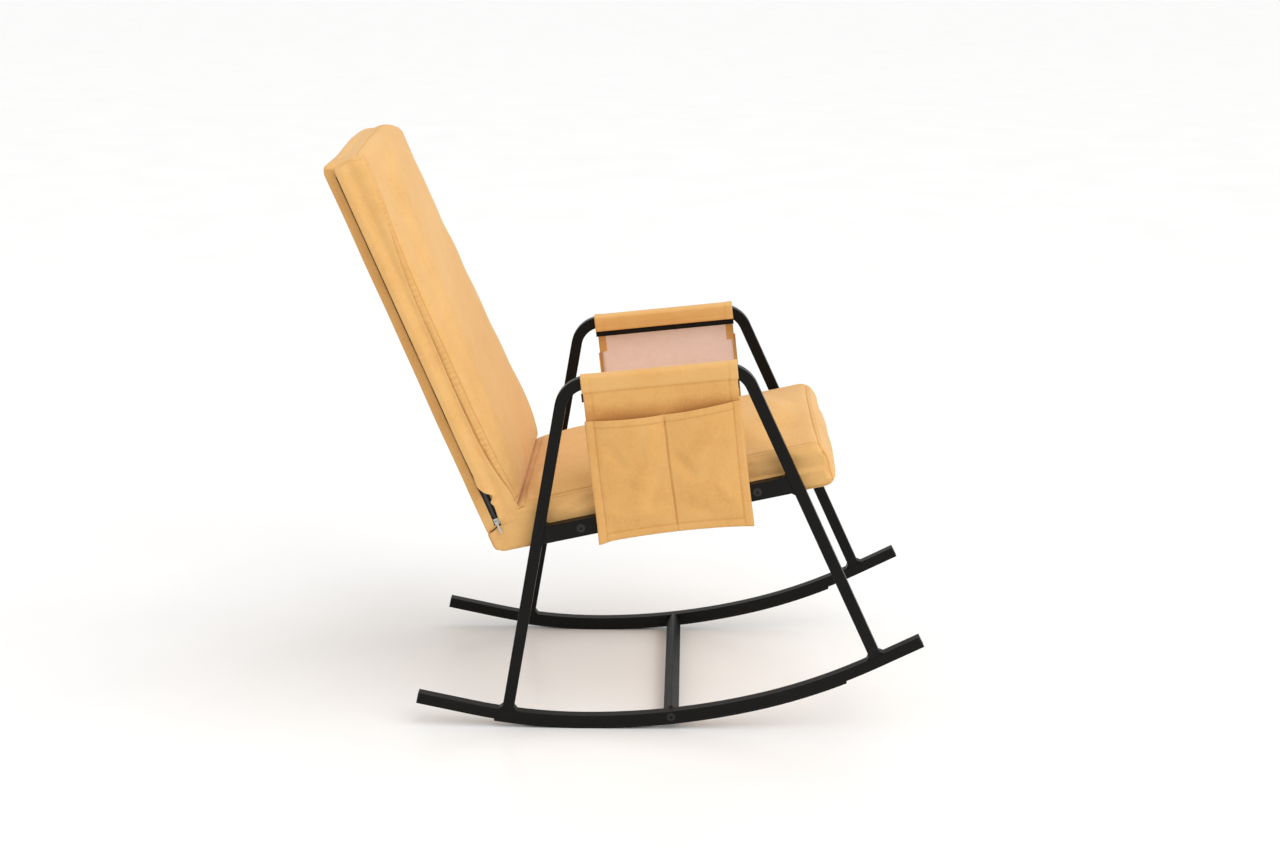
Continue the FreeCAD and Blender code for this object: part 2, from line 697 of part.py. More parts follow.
save("inner_frame_tube_right", l_tube)
save("inner_frame_tube_left", l_left)
save("inner_cross_tubes", Part.makeCompound([cross_front, cross_rear, cross_top]))
save("seat_board", seat_board)
save("back_board", back_board)
save("seat_board_screws", Part.makeCompound(seat_screws))
save("back_board_screws", Part.makeCompound(back_screws))
save("seat_foam", seat_foam)
save("back_foam", back_foam)
save("seat_cover", seat_cover)
save("back_cover", back_cover)

# ---- zipper on the right side of the back cover -----------------------------
zip_r = 25.0                 # ahead of the rear plane
zip_b0, zip_b1 = 47.0, 700.0
tape_w, tape_t = 14.0, 0.6
coil_w, coil_t = 4.0, 1.0
xs = -cushion_half


def strip_b(b0, b1, r, w, x0, x1):
    return poly([B(b0, r - w / 2), B(b0, r + w / 2), B(b1, r + w / 2), B(b1, r - w / 2)], x0, x1)


tape = strip_b(zip_b0, zip_b1, zip_r, tape_w, xs - tape_t, xs)
coil = strip_b(zip_b0 + 2, zip_b1 - 2, zip_r, coil_w, xs - tape_t - coil_t, xs - tape_t)
slider_len, slider_w = 11.0, 8.4
sb0 = zip_b0 + 3.0
x_in = xs - tape_t - 0.25
x_roof = xs - tape_t - coil_t - 0.25
x_out = x_roof - 1.0
body = strip_b(sb0, sb0 + slider_len, zip_r, slider_w, x_out, x_in)
body = body.cut(strip_b(sb0 - 1, sb0 + slider_len + 1, zip_r, coil_w + 0.8, x_roof, x_in + 1))
# bridge over the pull's pin
pin_b = sb0 + 5.5
pin_x = x_out - 1.35
for sg in (-1, 1):
    ear = strip_b(pin_b - 2.0, pin_b + 2.0, zip_r + sg * 2.6, 1.2, pin_x - 1.2, x_out)
    body = body.fuse(ear)
pin_c = B(pin_b, zip_r - 3.2)
pin = cyl(P(pin_c[0], pin_c[1], pin_x), V(0, -bn[0], bn[1]), 0.6, 6.4)
body = body.fuse(pin).removeSplitter()
pull = strip_b(pin_b - 22.0, pin_b + 0.9, zip_r, 3.6, pin_x - 0.5, pin_x + 0.5)
eye0 = B(pin_b, zip_r - 1.8)
eye = cyl(P(eye0[0], eye0[1], pin_x), V(0, -bn[0], bn[1]), 1.15, 3.6)
pull = pull.fuse(eye).removeSplitter()
bore_c = B(pin_b, zip_r - 4)
pull = pull.cut(cyl(P(bore_c[0], bore_c[1], pin_x), V(0, -bn[0], bn[1]), 0.65, 8.0))
save("zipper_tape", tape)
save("zipper_coil", coil)
save("zipper_slider", biggest(body))
save("zipper_pull", biggest(pull))

# ---- arm organisers ---------------------------------------------------------
an = (-am[1], am[0])
wrap_top = tube / 2 + wrap_t + 0.2
wrap0 = (266.3, 0.0)


def A(a, w):
    """Arm coordinates: a along the arm from the wrap's rear end, w down from its top."""
    base_u = 266.3
    base_h = arm_h
    o = (base_u + am[0] * a, base_h + am[1] * a)
    k = wrap_top - w
    return (o[0] + an[0] * k, o[1] + an[1] * k)


wx0, wx1 = hx0 - wrap_t - 0.2, hx1 + wrap_t + 0.2
outer = poly([A(0, 0), A(wrap_len, 0), A(wrap_len, wrap_drop), A(0, wrap_drop)], wx0, wx1)
es = [e for e in outer.Edges if e.Length > 200 and all(
    abs((v.Point.z - P(*A(0, 0)).z) - (P(*A(0, 0)).y - v.Point.y) * am[1] / am[0]) < 1 for v in e.Vertexes)]
outer = outer.makeFillet(3.0, es)
inner = poly([A(-1, wrap_t), A(wrap_len + 1, wrap_t), A(wrap_len + 1, wrap_drop + 1),
              A(-1, wrap_drop + 1)], hx0 - 0.2, hx1 + 0.2)
wrap = biggest(outer.cut(inner))

px1 = hx0 - 1.4                 # inner face of the hanging panel
px0 = px1 - panel_t
pxm = px1 - lining_t            # between the lining and the outer cloth
w_hinge = wrap_drop + 1.2       # line about which the hanging part swings
w_top = wrap_drop + 1.5
open_l, open_r = 82.0, 66.0     # pocket mouth below the wrap's top, rear and front end
bot_l, bot_r = 294.0, 286.0
panel = poly([A(0, w_top), A(wrap_len, w_top), A(wrap_len, bot_r), A(0, bot_l)], px0, pxm)
lining = poly([A(0, w_top), A(wrap_len, w_top), A(wrap_len, bot_r), A(0, bot_l)], pxm, px1)
fx1 = px0 - pocket_gap
fx0 = fx1 - pocket_front_t
front = poly([A(-1, open_l), A(wrap_len + 1, open_r), A(wrap_len + 1, bot_r), A(-1, bot_l)], fx0, fx1)


def mouth(a):
    return open_l + (open_r - open_l) * a / wrap_len


def bottom(a):
    return bot_l + (bot_r - bot_l) * a / wrap_len


hem = 8.0
seams = []
for a0, a1 in ((0.0, hem), ((wrap_len - 5) / 2, (wrap_len + 5) / 2), (wrap_len - hem, wrap_len)):
    seams.append(poly([A(a0, mouth(a0) + 2), A(a1, mouth(a1) + 2), A(a1, bottom(a1) - hem),
                       A(a0, bottom(a0) - hem)], fx1, px0))
seams.append(poly([A(0, bottom(0) - hem), A(wrap_len, bottom(wrap_len) - hem),
                   A(wrap_len, bottom(wrap_len)), A(0, bottom(0))], fx1, px0))
tape_w0, tape_w1 = w_top + 2.5, w_top + 17.5      # hook tape across the top of the lining
hook_tape = poly([A(-1.5, tape_w0), A(wrap_len, tape_w0), A(wrap_len, tape_w1), A(-1.5, tape_w1)],
                 px1, px1 + 1.1)
tabs = []
for a0 in (3.0, wrap_len - 16.0):
    tabs.append(poly([A(a0, tape_w1 + 0.3), A(a0 + 13, tape_w1 + 0.3), A(a0 + 13, tape_w1 + 30),
                      A(a0, tape_w1 + 30)], px1, px1 + 0.9))
save("hook_tape_right", hook_tape)
save("hook_tape_left", mirror(hook_tape))
save("arm_wrap_right", wrap)
save("arm_wrap_left", mirror(wrap))
save("pocket_back_panel_right", panel)
save("pocket_back_panel_left", mirror(panel))
save("pocket_lining_right", lining)
save("pocket_lining_left", mirror(lining))
save("pocket_front_panel_right", front)
save("pocket_front_panel_left", mirror(front))
seams = Part.makeCompound(seams)
save("pocket_seam_strips_right", seams)
save("pocket_seam_strips_left", mirror(seams))
tabs = Part.makeCompound(tabs)
save("closure_tabs_right", tabs)
save("closure_tabs_left", mirror(tabs))

# ---- printed figures --------------------------------------------------------
def density(n):
    if n in ("seat_board", "back_board"):
        return 600
    if "strip_r" in n or "strip_l" in n:
        if n.startswith("rubber"):
            return 1200
    if n == "runner_end_plugs":
        return 1100
    if n in ("seat_foam", "back_foam", "seat_cover", "back_cover", "zipper_tape") or \
            n.startswith(("arm_wrap", "pocket", "closure", "hook")):
        return 300
    if n == "zipper_coil":
        return 1100
    return 7850


M = 0.0
C = [0.0, 0.0, 0.0]
for n, (vol, mom, cnt) in MASS.items():
    d = density(n) * 1e-9
    M += vol * d
    for i in range(3):
        C[i] += mom[i] * d
    print("%-28s solids %2d  vol %10.1f cm3 %8.3f  mass %7.3f kg" % (n, cnt, vol, vol / 1000, vol * d))
com = [c / M for c in C]
print("mass %.3f kg  centre of mass x %.1f y %.1f z %.1f" % (M, *com))
print("centre of mass u %.2f, runner low point u %.2f" % (datum_u - com[1], 260.5))
bb = Part.makeCompound(list(ALL.values())).BoundBox
print("box x %.1f %.1f  y %.1f %.1f  z %.1f %.1f" % (bb.XMin, bb.XMax, bb.YMin, bb.YMax, bb.ZMin, bb.ZMax))
print("slider pin", B(pin_b, zip_r), pin_x, "slide dir", bd, "pin axis", bn)
print("hinge", A(0, w_hinge), "arm dir", am)
print("crease", crease, "split", split_p, "cross_h", cross_h)
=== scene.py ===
import json
import math

import bpy
import numpy as np
from mathutils import Matrix, Vector
from mathutils.kdtree import KDTree


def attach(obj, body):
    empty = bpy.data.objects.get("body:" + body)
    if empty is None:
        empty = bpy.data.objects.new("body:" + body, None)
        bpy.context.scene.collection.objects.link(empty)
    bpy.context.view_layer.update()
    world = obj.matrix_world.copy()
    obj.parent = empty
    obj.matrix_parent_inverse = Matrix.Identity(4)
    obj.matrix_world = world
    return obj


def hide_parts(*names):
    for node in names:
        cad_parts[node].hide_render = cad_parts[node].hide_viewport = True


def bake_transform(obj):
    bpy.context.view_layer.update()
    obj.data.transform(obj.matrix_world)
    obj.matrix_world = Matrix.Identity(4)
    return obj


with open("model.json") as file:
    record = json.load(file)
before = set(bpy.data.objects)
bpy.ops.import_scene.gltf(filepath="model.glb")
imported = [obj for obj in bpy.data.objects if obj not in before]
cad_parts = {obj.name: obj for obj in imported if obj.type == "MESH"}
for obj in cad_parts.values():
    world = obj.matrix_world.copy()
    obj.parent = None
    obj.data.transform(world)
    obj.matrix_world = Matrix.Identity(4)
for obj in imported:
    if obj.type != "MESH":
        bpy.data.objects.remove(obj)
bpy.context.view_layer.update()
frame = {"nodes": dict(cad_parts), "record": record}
NODES = frame["nodes"]

# ---------------------------------------------------------------------------
# Coordinates. All lengths below are millimetres; row() makes metres.
#   seat(x, t, s)  t up from the seat's underside, s along the seat to its nose
#   back(x, r, b)  r ahead of the back's rear plane, b up along the back
#   arm(x, w, a)   w down from the arm wrap's top, a forward along the arm
# ---------------------------------------------------------------------------


def unit(deg):
    return math.cos(math.radians(deg)), math.sin(math.radians(deg))


U0 = 351.0
SS, BD, BN, AM = unit(12.65), unit(112.38), unit(22.38), unit(6.04)
SN, AN = (-SS[1], SS[0]), (-AM[1], AM[0])
C0 = (115.7, 318.2)
A0 = (266.3, 629.9)
HALF = 219.5
SEAT_L, SEAT_T = 603.0, 81.0
BACK_L, BACK_T = 724.0, 76.0
WRAP_L = 264.0


def row(x, u, h):
    x, u, h = np.broadcast_arrays(np.asarray(x, float), u, h)
    return np.stack([x, U0 - u, h], -1) / 1000.0


def seat(x, t, s):
    t, s = np.asarray(t, float), np.asarray(s, float)
    return row(x, C0[0] + SS[0] * s + SN[0] * t, C0[1] + SS[1] * s + SN[1] * t)


def back(x, r, b):
    r, b = np.asarray(r, float), np.asarray(b, float)
    return row(x, C0[0] + BD[0] * b + BN[0] * r, C0[1] + BD[1] * b + BN[1] * r)


def arm(x, w, a):
    k, a = 13.2 - np.asarray(w, float), np.asarray(a, float)
    return row(x, A0[0] + AM[0] * a + AN[0] * k, A0[1] + AM[1] * a + AN[1] * k)


def to_local(p, axes, origin=C0):
    """Row-frame metres back to (x, along the first axis, along the second) in mm."""
    x, u, h = p[:, 0] * 1000, U0 - p[:, 1] * 1000 - origin[0], p[:, 2] * 1000 - origin[1]
    (a, b) = axes
    return x, u * a[0] + h * a[1], u * b[0] + h * b[1]


def smooth(a, lo, hi):
    k = np.clip((np.asarray(a, float) - lo) / (hi - lo), 0, 1)
    return k * k * (3 - 2 * k)


def table(x, pts):
    """Smooth curve through points (x, y)."""
    px, py = np.array(pts, float).T
    x = np.clip(np.asarray(x, float), px[0], px[-1])
    i = np.clip(np.searchsorted(px, x) - 1, 0, len(px) - 2)
    m = np.gradient(py, px)
    h = px[i + 1] - px[i]
    k = (x - px[i]) / h
    return ((2 * k**3 - 3 * k**2 + 1) * py[i] + (k**3 - 2 * k**2 + k) * h * m[i]
            + (-2 * k**3 + 3 * k**2) * py[i + 1] + (k**3 - k**2) * h * m[i + 1])


_rng = np.random.default_rng(7)
_waves = [(_rng.normal(size=3), _rng.uniform(0, 6.28)) for _ in range(48)]


def noise(p, scale, seed=0, n=10):
    """Soft seeded noise in about -1..1 on points in metres; scale in metres."""
    out = 0.0
    for i in range(n):
        d, ph = _waves[(i + seed * 5) % len(_waves)]
        out = out + np.sin(p @ (d * (2.0 / scale)) + ph + seed)
    return out / math.sqrt(n) * 0.8


# ---- mesh helpers ----------------------------------------------------------
def new_mesh(name, verts, faces, mats=(), smooth_shade=True):
    m = bpy.data.meshes.new(name)
    m.from_pydata([tuple(v) for v in np.asarray(verts).tolist()], [], [tuple(f) for f in faces])
    m.update()
    m.validate()
    o = bpy.data.objects.new(name, m)
    bpy.context.scene.collection.objects.link(o)
    for x in mats:
        m.materials.append(x)
    if smooth_shade:
        m.polygons.foreach_set("use_smooth", [True] * len(m.polygons))
    return o


def coords(mesh):
    co = np.zeros(len(mesh.vertices) * 3, np.float32)
    mesh.vertices.foreach_get("co", co)
    return co.reshape(-1, 3).astype(float)


def set_coords(mesh, p):
    mesh.vertices.foreach_set("co", np.asarray(p, np.float32).ravel())
    mesh.update()


def normals(mesh):
    n = np.zeros(len(mesh.vertices) * 3, np.float32)
    mesh.vertex_normals.foreach_get("vector", n)
    return n.reshape(-1, 3).astype(float)


def put_attribute(mesh, name, values):
    a = mesh.attributes.get(name) or mesh.attributes.new(name, "FLOAT_VECTOR", "POINT")
    a.data.foreach_set("vector", np.asarray(values, np.float32).ravel())


def get_attribute(mesh, name):
    v = np.zeros(len(mesh.vertices) * 3, np.float32)
    mesh.attributes[name].data.foreach_get("vector", v)
    return v.reshape(-1, 3).astype(float)


def put_painted_shading(mesh, values):
    """Painted light and shade per vertex, a shift in colour that the cloth materials read."""
    a = mesh.attributes.get("painted_shading") or mesh.attributes.new("painted_shading", "FLOAT", "POINT")
    a.data.foreach_set("value", np.asarray(values, np.float32))


def subdivide(o, levels=1):
    m = o.modifiers.new("sub", "SUBSURF")
    m.levels = m.render_levels = levels
    bake(o)


def bake(o):
    """The object's modifiers, applied."""
    dg = bpy.context.evaluated_depsgraph_get()
    dg.update()
    made = bpy.data.meshes.new_from_object(o.evaluated_get(dg), preserve_all_data_layers=True, depsgraph=dg)
    old = o.data
    o.modifiers.clear()
    o.data = made
    made.name = o.name
    bpy.data.meshes.remove(old)
    made.polygons.foreach_set("use_smooth", [True] * len(made.polygons))


def lattice(nx, nt, nl):
    """Surface grid of a box: integer places of its points, and its quads."""
    m = np.zeros((nx, nt, nl), bool)
    m[0] = m[-1] = True
    m[:, 0] = m[:, -1] = True
    m[:, :, 0] = m[:, :, -1] = True
    ijk = np.argwhere(m)
    idx = -np.ones((nx, nt, nl), int)
    idx[tuple(ijk.T)] = np.arange(len(ijk))
    quads = []

    def grid(a, flip):
        q = np.stack([a[:-1, :-1], a[1:, :-1], a[1:, 1:], a[:-1, 1:]], -1).reshape(-1, 4)
        quads.append(q[:, ::-1] if flip else q)
    grid(idx[-1], False), grid(idx[0], True)
    grid(idx[:, -1].T, False), grid(idx[:, 0].T, True)
    grid(idx[:, :, -1], False), grid(idx[:, :, 0], True)
    return ijk, np.concatenate(quads)


def steps(lo, hi, fine_lo, fine_hi, fine, coarse):
    """Places from lo to hi, close together within fine_lo and fine_hi of the ends."""
    out, x = [lo], lo
    while x < hi - 1e-6:
        near = min((x - lo) / max(fine_lo, 1e-6), (hi - x) / max(fine_hi, 1e-6))
        x += fine if near < 1 else min(coarse, fine + (near - 1) * coarse * 0.8)
        out.append(x)
    out = np.array(out)
    return lo + (out - lo) * (hi - lo) / (out[-1] - lo)


def round2(a, b, a0, a1, b0, b1, r):
    """Rounds a rectangle's corners: square to disc in each corner. r is for (low a, low b), (low, high), (high, low), (high, high)."""
    am, bm = (a0 + a1) / 2, (b0 + b1) / 2
    rr = np.where(a < am, np.where(b < bm, r[0], r[1]), np.where(b < bm, r[2], r[3]))
    ia, ib = np.clip(a, a0 + rr, a1 - rr), np.clip(b, b0 + rr, b1 - rr)
    na, nb = (a - ia) / rr, (b - ib) / rr
    m, ln = np.maximum(abs(na), abs(nb)), np.hypot(na, nb)
    k = np.where(ln > 1e-9, m / np.maximum(ln, 1e-9), 1.0)
    return ia + na * rr * k, ib + nb * rr * k


def outward(verts, faces):
    v = verts[faces]
    vol = np.einsum("ij,ij->i", v[:, 0], np.cross(v[:, 1], v[:, 2])) + np.einsum("ij,ij->i", v[:, 0], np.cross(v[:, 2], v[:, 3]))
    return faces if vol.sum() > 0 else faces[:, ::-1]


# ---- cloth simulation ------------------------------------------------------
def puff(verts, faces, pin, shrink, pressure=4.0, frames=20, tension=12.0, bending=0.6):
    """Blows a closed cushion skin up as cloth and returns how far each point moved. pin is 0..1 per point, shrink 0..1 where a seam draws in."""
    o = new_mesh("sim", verts, faces)
    g = o.vertex_groups.new(name="pin")
    for w in np.unique(np.round(pin, 2)):
        if w > 0:
            g.add(np.nonzero(np.round(pin, 2) == w)[0].tolist(), float(w), "REPLACE")
    s = o.vertex_groups.new(name="shrink")
    for w in np.unique(np.round(shrink, 1)):
        if w > 0:
            s.add(np.nonzero(np.round(shrink, 1) == w)[0].tolist(), float(w), "REPLACE")
    m = o.modifiers.new("cloth", "CLOTH")
    c = m.settings
    c.quality = 5
    c.mass = 0.3
    c.tension_stiffness = c.compression_stiffness = tension
    c.shear_stiffness = tension * 0.5
    c.bending_stiffness = bending
    c.tension_damping = c.compression_damping = c.shear_damping = 8
    c.air_damping = 2
    c.use_pressure = True
    c.uniform_pressure_force = pressure
    c.vertex_group_mass = "pin"
    c.pin_stiffness = 1.0
    c.vertex_group_shrink = "shrink"
    c.shrink_min = -0.012
    c.shrink_max = 0.05
    c.effector_weights.gravity = 0.0
    m.collision_settings.use_collision = False
    m.point_cache.frame_start, m.point_cache.frame_end = 1, frames
    sc = bpy.context.scene
    for f in range(1, frames + 1):
        sc.frame_set(f)
    dg = bpy.context.evaluated_depsgraph_get()
    e = o.evaluated_get(dg)
    moved = coords(e.data) - verts
    mesh = o.data
    bpy.data.objects.remove(o)
    bpy.data.meshes.remove(mesh)
    sc.frame_set(1)
    if not np.isfinite(moved).all():
        moved = np.zeros_like(verts)
    return moved


def calm(d, faces, rounds):
    """Averages a movement with its neighbours', so that the skin keeps its swell and loses small buckles."""
    a = np.concatenate([faces, np.roll(faces, -1, 1)[:, :1]], 1)
    i = np.concatenate([a[:, k] for k in range(4)] + [a[:, (k + 1) % 4] for k in range(4)])
    j = np.concatenate([a[:, (k + 1) % 4] for k in range(4)] + [a[:, k] for k in range(4)])
    n = np.bincount(i, minlength=len(d))[:, None]
    for _ in range(rounds):
        d = 0.4 * d + 0.6 * np.stack([np.bincount(i, d[j, k], len(d)) for k in range(3)], 1) / n
    return d


def soft_cap(d, cap):
    ln = np.linalg.norm(d, axis=1, keepdims=True)
    return d * (cap * np.tanh(ln / cap) / np.maximum(ln, 1e-9))


# ---- paths on a surface ----------------------------------------------------
class Skin:
    """Carries points given on a smooth rest surface onto the finished one."""

    def __init__(self, rest, mesh):
        self.rest, self.now, self.n = rest, coords(mesh), normals(mesh)
        self.kd = KDTree(len(rest))
        for i, p in enumerate(rest):
            self.kd.insert(p, i)
        self.kd.balance()

    def place(self, pts):
        out, nn = [], []
        for p in pts:
            f = self.kd.find_n(p, 4)
            w = np.array([1 / (x[2] + 1e-4) for x in f])
            i = [x[1] for x in f]
            w = w / w.sum()
            d = (w[:, None] * (self.now[i] - self.rest[i])).sum(0)
            nv = (w[:, None] * self.n[i]).sum(0)
            out.append(np.asarray(p) + d)
            nn.append(nv / np.linalg.norm(nv))
        return np.array(out), np.array(nn)


def resample(pts, step):
    pts = np.asarray(pts, float)
    d = np.concatenate([[0], np.cumsum(np.linalg.norm(np.diff(pts, axis=0), axis=1))])
    n = max(2, int(round(d[-1] / step)) + 1)
    t = np.linspace(0, d[-1], n)
    return np.stack([np.interp(t, d, pts[:, i]) for i in range(3)], 1)


def near_path(verts, path, reach):
    """Distance of each point to a path, and how far along the path its foot is. Points out of reach give a large distance."""
    path = resample(path, 0.0012)
    kd = KDTree(len(path))
    for i, p in enumerate(path):
        kd.insert(p, i)
    kd.balance()
    lo, hi = path.min(0) - reach, path.max(0) + reach
    d = np.full(len(verts), 1.0)
    s = np.zeros(len(verts))
    for i in np.nonzero(((verts > lo) & (verts < hi)).all(1))[0]:
        co, j, dist = kd.find(verts[i])
        d[i], s[i] = dist, j * 0.0012
    return d, s


def stitches(name, pts, nrm, mats, pitch=3.4, length=2.5, width=0.8, lift=0.25, seed=0):
    """A row of thread stitches: small rounded bars that dip at both ends."""
    pts = np.asarray(pts, float)
    seg = np.linalg.norm(np.diff(pts, axis=0), axis=1)
    d = np.concatenate([[0], np.cumsum(seg)]) * 1000
    v, f = [], []
    x = pitch * 0.5
    while x + length < d[-1]:
        at = np.array([x, x + length * 0.3, x + length * 0.7, x + length])
        p = np.stack([np.interp(at, d, pts[:, i]) for i in range(3)], 1)
        n = np.stack([np.interp(at, d, nrm[:, i]) for i in range(3)], 1)
        t = p[-1] - p[0]
        t = t / np.linalg.norm(t)
        base = len(v)
        for k in range(4):
            side = np.cross(n[k], t)
            up = (lift if k in (1, 2) else -0.35) / 1000
            wd = (width if k in (1, 2) else width * 0.7) / 2000
            c = p[k] + n[k] * up
            th = 0.30 / 1000
            v += [c + side * wd, c + n[k] * th, c - side * wd, c - n[k] * th * 1.6]
        for k in range(3):
            for j in range(4):
                a, b = base + k * 4 + j, base + k * 4 + (j + 1) % 4
                f.append((a, b, b + 4, a + 4))
        f.append((base + 3, base + 2, base + 1, base))
        f.append((base + 12, base + 13, base + 14, base + 15))
        x += pitch
    return v, f


def stitch_piece(name, rows, mat, parent):
    v, f = [], []
    for pts, nrm in rows:
        vv, ff = stitches(name, pts, nrm, None)
        f += [tuple(i + len(v) for i in q) for q in ff]
        v += vv
    o = new_mesh(name, v, f, [mat])
    o.parent = parent
    return o


# ---------------------------------------------------------------------------
# Materials
# ---------------------------------------------------------------------------
def nodes_of(name):
    m = bpy.data.materials.new(name)
    m.use_nodes = True
    nt = m.node_tree
    nt.nodes.clear()
    out = nt.nodes.new("ShaderNodeOutputMaterial")
    b = nt.nodes.new("ShaderNodeBsdfPrincipled")
    nt.links.new(b.outputs[0], out.inputs[0])
    return m, nt, b


def link(nt, a, b):
    nt.links.new(a, b)


def math_node(nt, op, a, b=None, c=None):
    n = nt.nodes.new("ShaderNodeMath")
    n.operation = op
    for i, x in enumerate((a, b, c)):
        if x is None:
            continue
        if isinstance(x, (int, float)):
            n.inputs[i].default_value = x
        else:
            nt.links.new(x, n.inputs[i])
    return n.outputs[0]


def noise_node(nt, vec, scale, detail=3.0, rough=0.5, dist=0.0):
    n = nt.nodes.new("ShaderNodeTexNoise")
    n.inputs["Scale"].default_value = scale
    n.inputs["Detail"].default_value = detail
    n.inputs["Roughness"].default_value = rough
    n.inputs["Distortion"].default_value = dist
    if vec is not None:
        nt.links.new(vec, n.inputs["Vector"])
    return n.outputs["Fac"]


def ramp(nt, fac, stops):
    n = nt.nodes.new("ShaderNodeValToRGB")
    e = n.color_ramp.elements
    while len(e) < len(stops):
        e.new(0.5)
    for el, (p, c) in zip(e, stops):
        el.position = p
        el.color = (*c, 1.0)
    nt.links.new(fac, n.inputs[0])
    return n.outputs[0]


def mapped(nt, rot_deg=0.0, scale=(1, 1, 1)):
    tc = nt.nodes.new("ShaderNodeTexCoord")
    mp = nt.nodes.new("ShaderNodeMapping")
    mp.inputs["Rotation"].default_value = (math.radians(rot_deg), 0, 0)
    mp.inputs["Scale"].default_value = scale
    nt.links.new(tc.outputs["Object"], mp.inputs["Vector"])
    return mp.outputs[0]


def cloth_material(name, light, mid, deep, rot, pitch=1.3, weave=0.35, nap=0.6, sheen=0.22, rough=0.88, mottle=7.0, use_painted_shading=True):
    """Brushed plain-weave cloth: two thread directions, a soft nap and uneven dye, with painted light and shade added
    from a per-vertex attribute.
    """
    m, nt, b = nodes_of(name)
    vec = mapped(nt, rot)
    sep = nt.nodes.new("ShaderNodeSeparateXYZ")
    link(nt, vec, sep.inputs[0])
    k = 2 * math.pi / (pitch / 1000)
    wob = math_node(nt, "MULTIPLY", noise_node(nt, vec, 90.0, 2.0), 2.6)
    wv = None
    for i in range(3):
        ph = math_node(nt, "MULTIPLY_ADD", sep.outputs[i], k, wob)
        sn = math_node(nt, "SINE", ph)
        wv = sn if wv is None else math_node(nt, "ADD", wv, sn)
    fine = noise_node(nt, vec, 1400.0, 2.0, 0.6)
    clouds = noise_node(nt, vec, mottle, 4.0, 0.55, 0.3)
    patch = noise_node(nt, vec, 42.0, 3.0, 0.6)
    # dye: broad clouds, small brushed patches, thread-scale grain
    f = math_node(nt, "MULTIPLY_ADD", clouds, 0.34, 0.03)
    f = math_node(nt, "MULTIPLY_ADD", patch, 0.20, f)
    f = math_node(nt, "MULTIPLY_ADD", noise_node(nt, vec, 210.0, 2.0, 0.7), 0.20, f)
    f = math_node(nt, "MULTIPLY_ADD", fine, 0.22, f)
    f = math_node(nt, "MULTIPLY_ADD", wv, 0.012, f)
    # painted light and shade: the per-vertex attribute shifts the colour along the ramp
    if use_painted_shading:
        at = nt.nodes.new("ShaderNodeAttribute")
        at.attribute_name = "painted_shading"
        f = math_node(nt, "ADD", f, at.outputs["Fac"])
    link(nt, ramp(nt, f, [(0.18, deep), (0.50, mid), (0.84, light)]), b.inputs["Base Color"])
    rr = math_node(nt, "MULTIPLY_ADD", patch, 0.12, rough - 0.06)
    link(nt, rr, b.inputs["Roughness"])
    b.inputs["Sheen Weight"].default_value = sheen
    b.inputs["Sheen Roughness"].default_value = 0.45
    b.inputs["Sheen Tint"].default_value = (1.0, 0.93, 0.82, 1)
    b.inputs["Specular IOR Level"].default_value = 0.18
    h = math_node(nt, "MULTIPLY", wv, 0.16)
    h = math_node(nt, "MULTIPLY_ADD", fine, 0.5, h)
    bump = nt.nodes.new("ShaderNodeBump")
    bump.inputs["Strength"].default_value = weave
    bump.inputs["Distance"].default_value = 0.0006
    link(nt, h, bump.inputs["Height"])
    soft = nt.nodes.new("ShaderNodeBump")
    soft.inputs["Strength"].default_value = nap
    soft.inputs["Distance"].default_value = 0.0016
    link(nt, patch, soft.inputs["Height"])
    link(nt, bump.outputs[0], soft.inputs["Normal"])
    link(nt, soft.outputs[0], b.inputs["Normal"])
    return m


def painted_steel(name, base, rough, coat=0.15, wear=0.35):
    """Satin powder coat: orange-peel skin, uneven gloss, a little dust and rub."""
    m, nt, b = nodes_of(name)
    vec = mapped(nt)
    peel = noise_node(nt, vec, 620.0, 2.0, 0.5)
    broad = noise_node(nt, vec, 14.0, 3.0, 0.6)
    dust = noise_node(nt, vec, 160.0, 4.0, 0.7)
    hi = tuple(min(1.0, c * 1.9 + 0.006) for c in base)
    lo = tuple(c * 0.8 for c in base)
    f = math_node(nt, "MULTIPLY_ADD", dust, 0.45, math_node(nt, "MULTIPLY", broad, 0.55))
    link(nt, ramp(nt, f, [(0.30, lo), (0.55, base), (0.85, hi)]), b.inputs["Base Color"])
    link(nt, math_node(nt, "MULTIPLY_ADD", broad, 0.20, rough - 0.10), b.inputs["Roughness"])
    b.inputs["Specular IOR Level"].default_value = 0.12
    b.inputs["Coat Weight"].default_value = coat
    b.inputs["Coat Roughness"].default_value = 0.30
    bump = nt.nodes.new("ShaderNodeBump")
    bump.inputs["Strength"].default_value = wear
    bump.inputs["Distance"].default_value = 0.0003
    link(nt, peel, bump.inputs["Height"])
    link(nt, bump.outputs[0], b.inputs["Normal"])
    return m


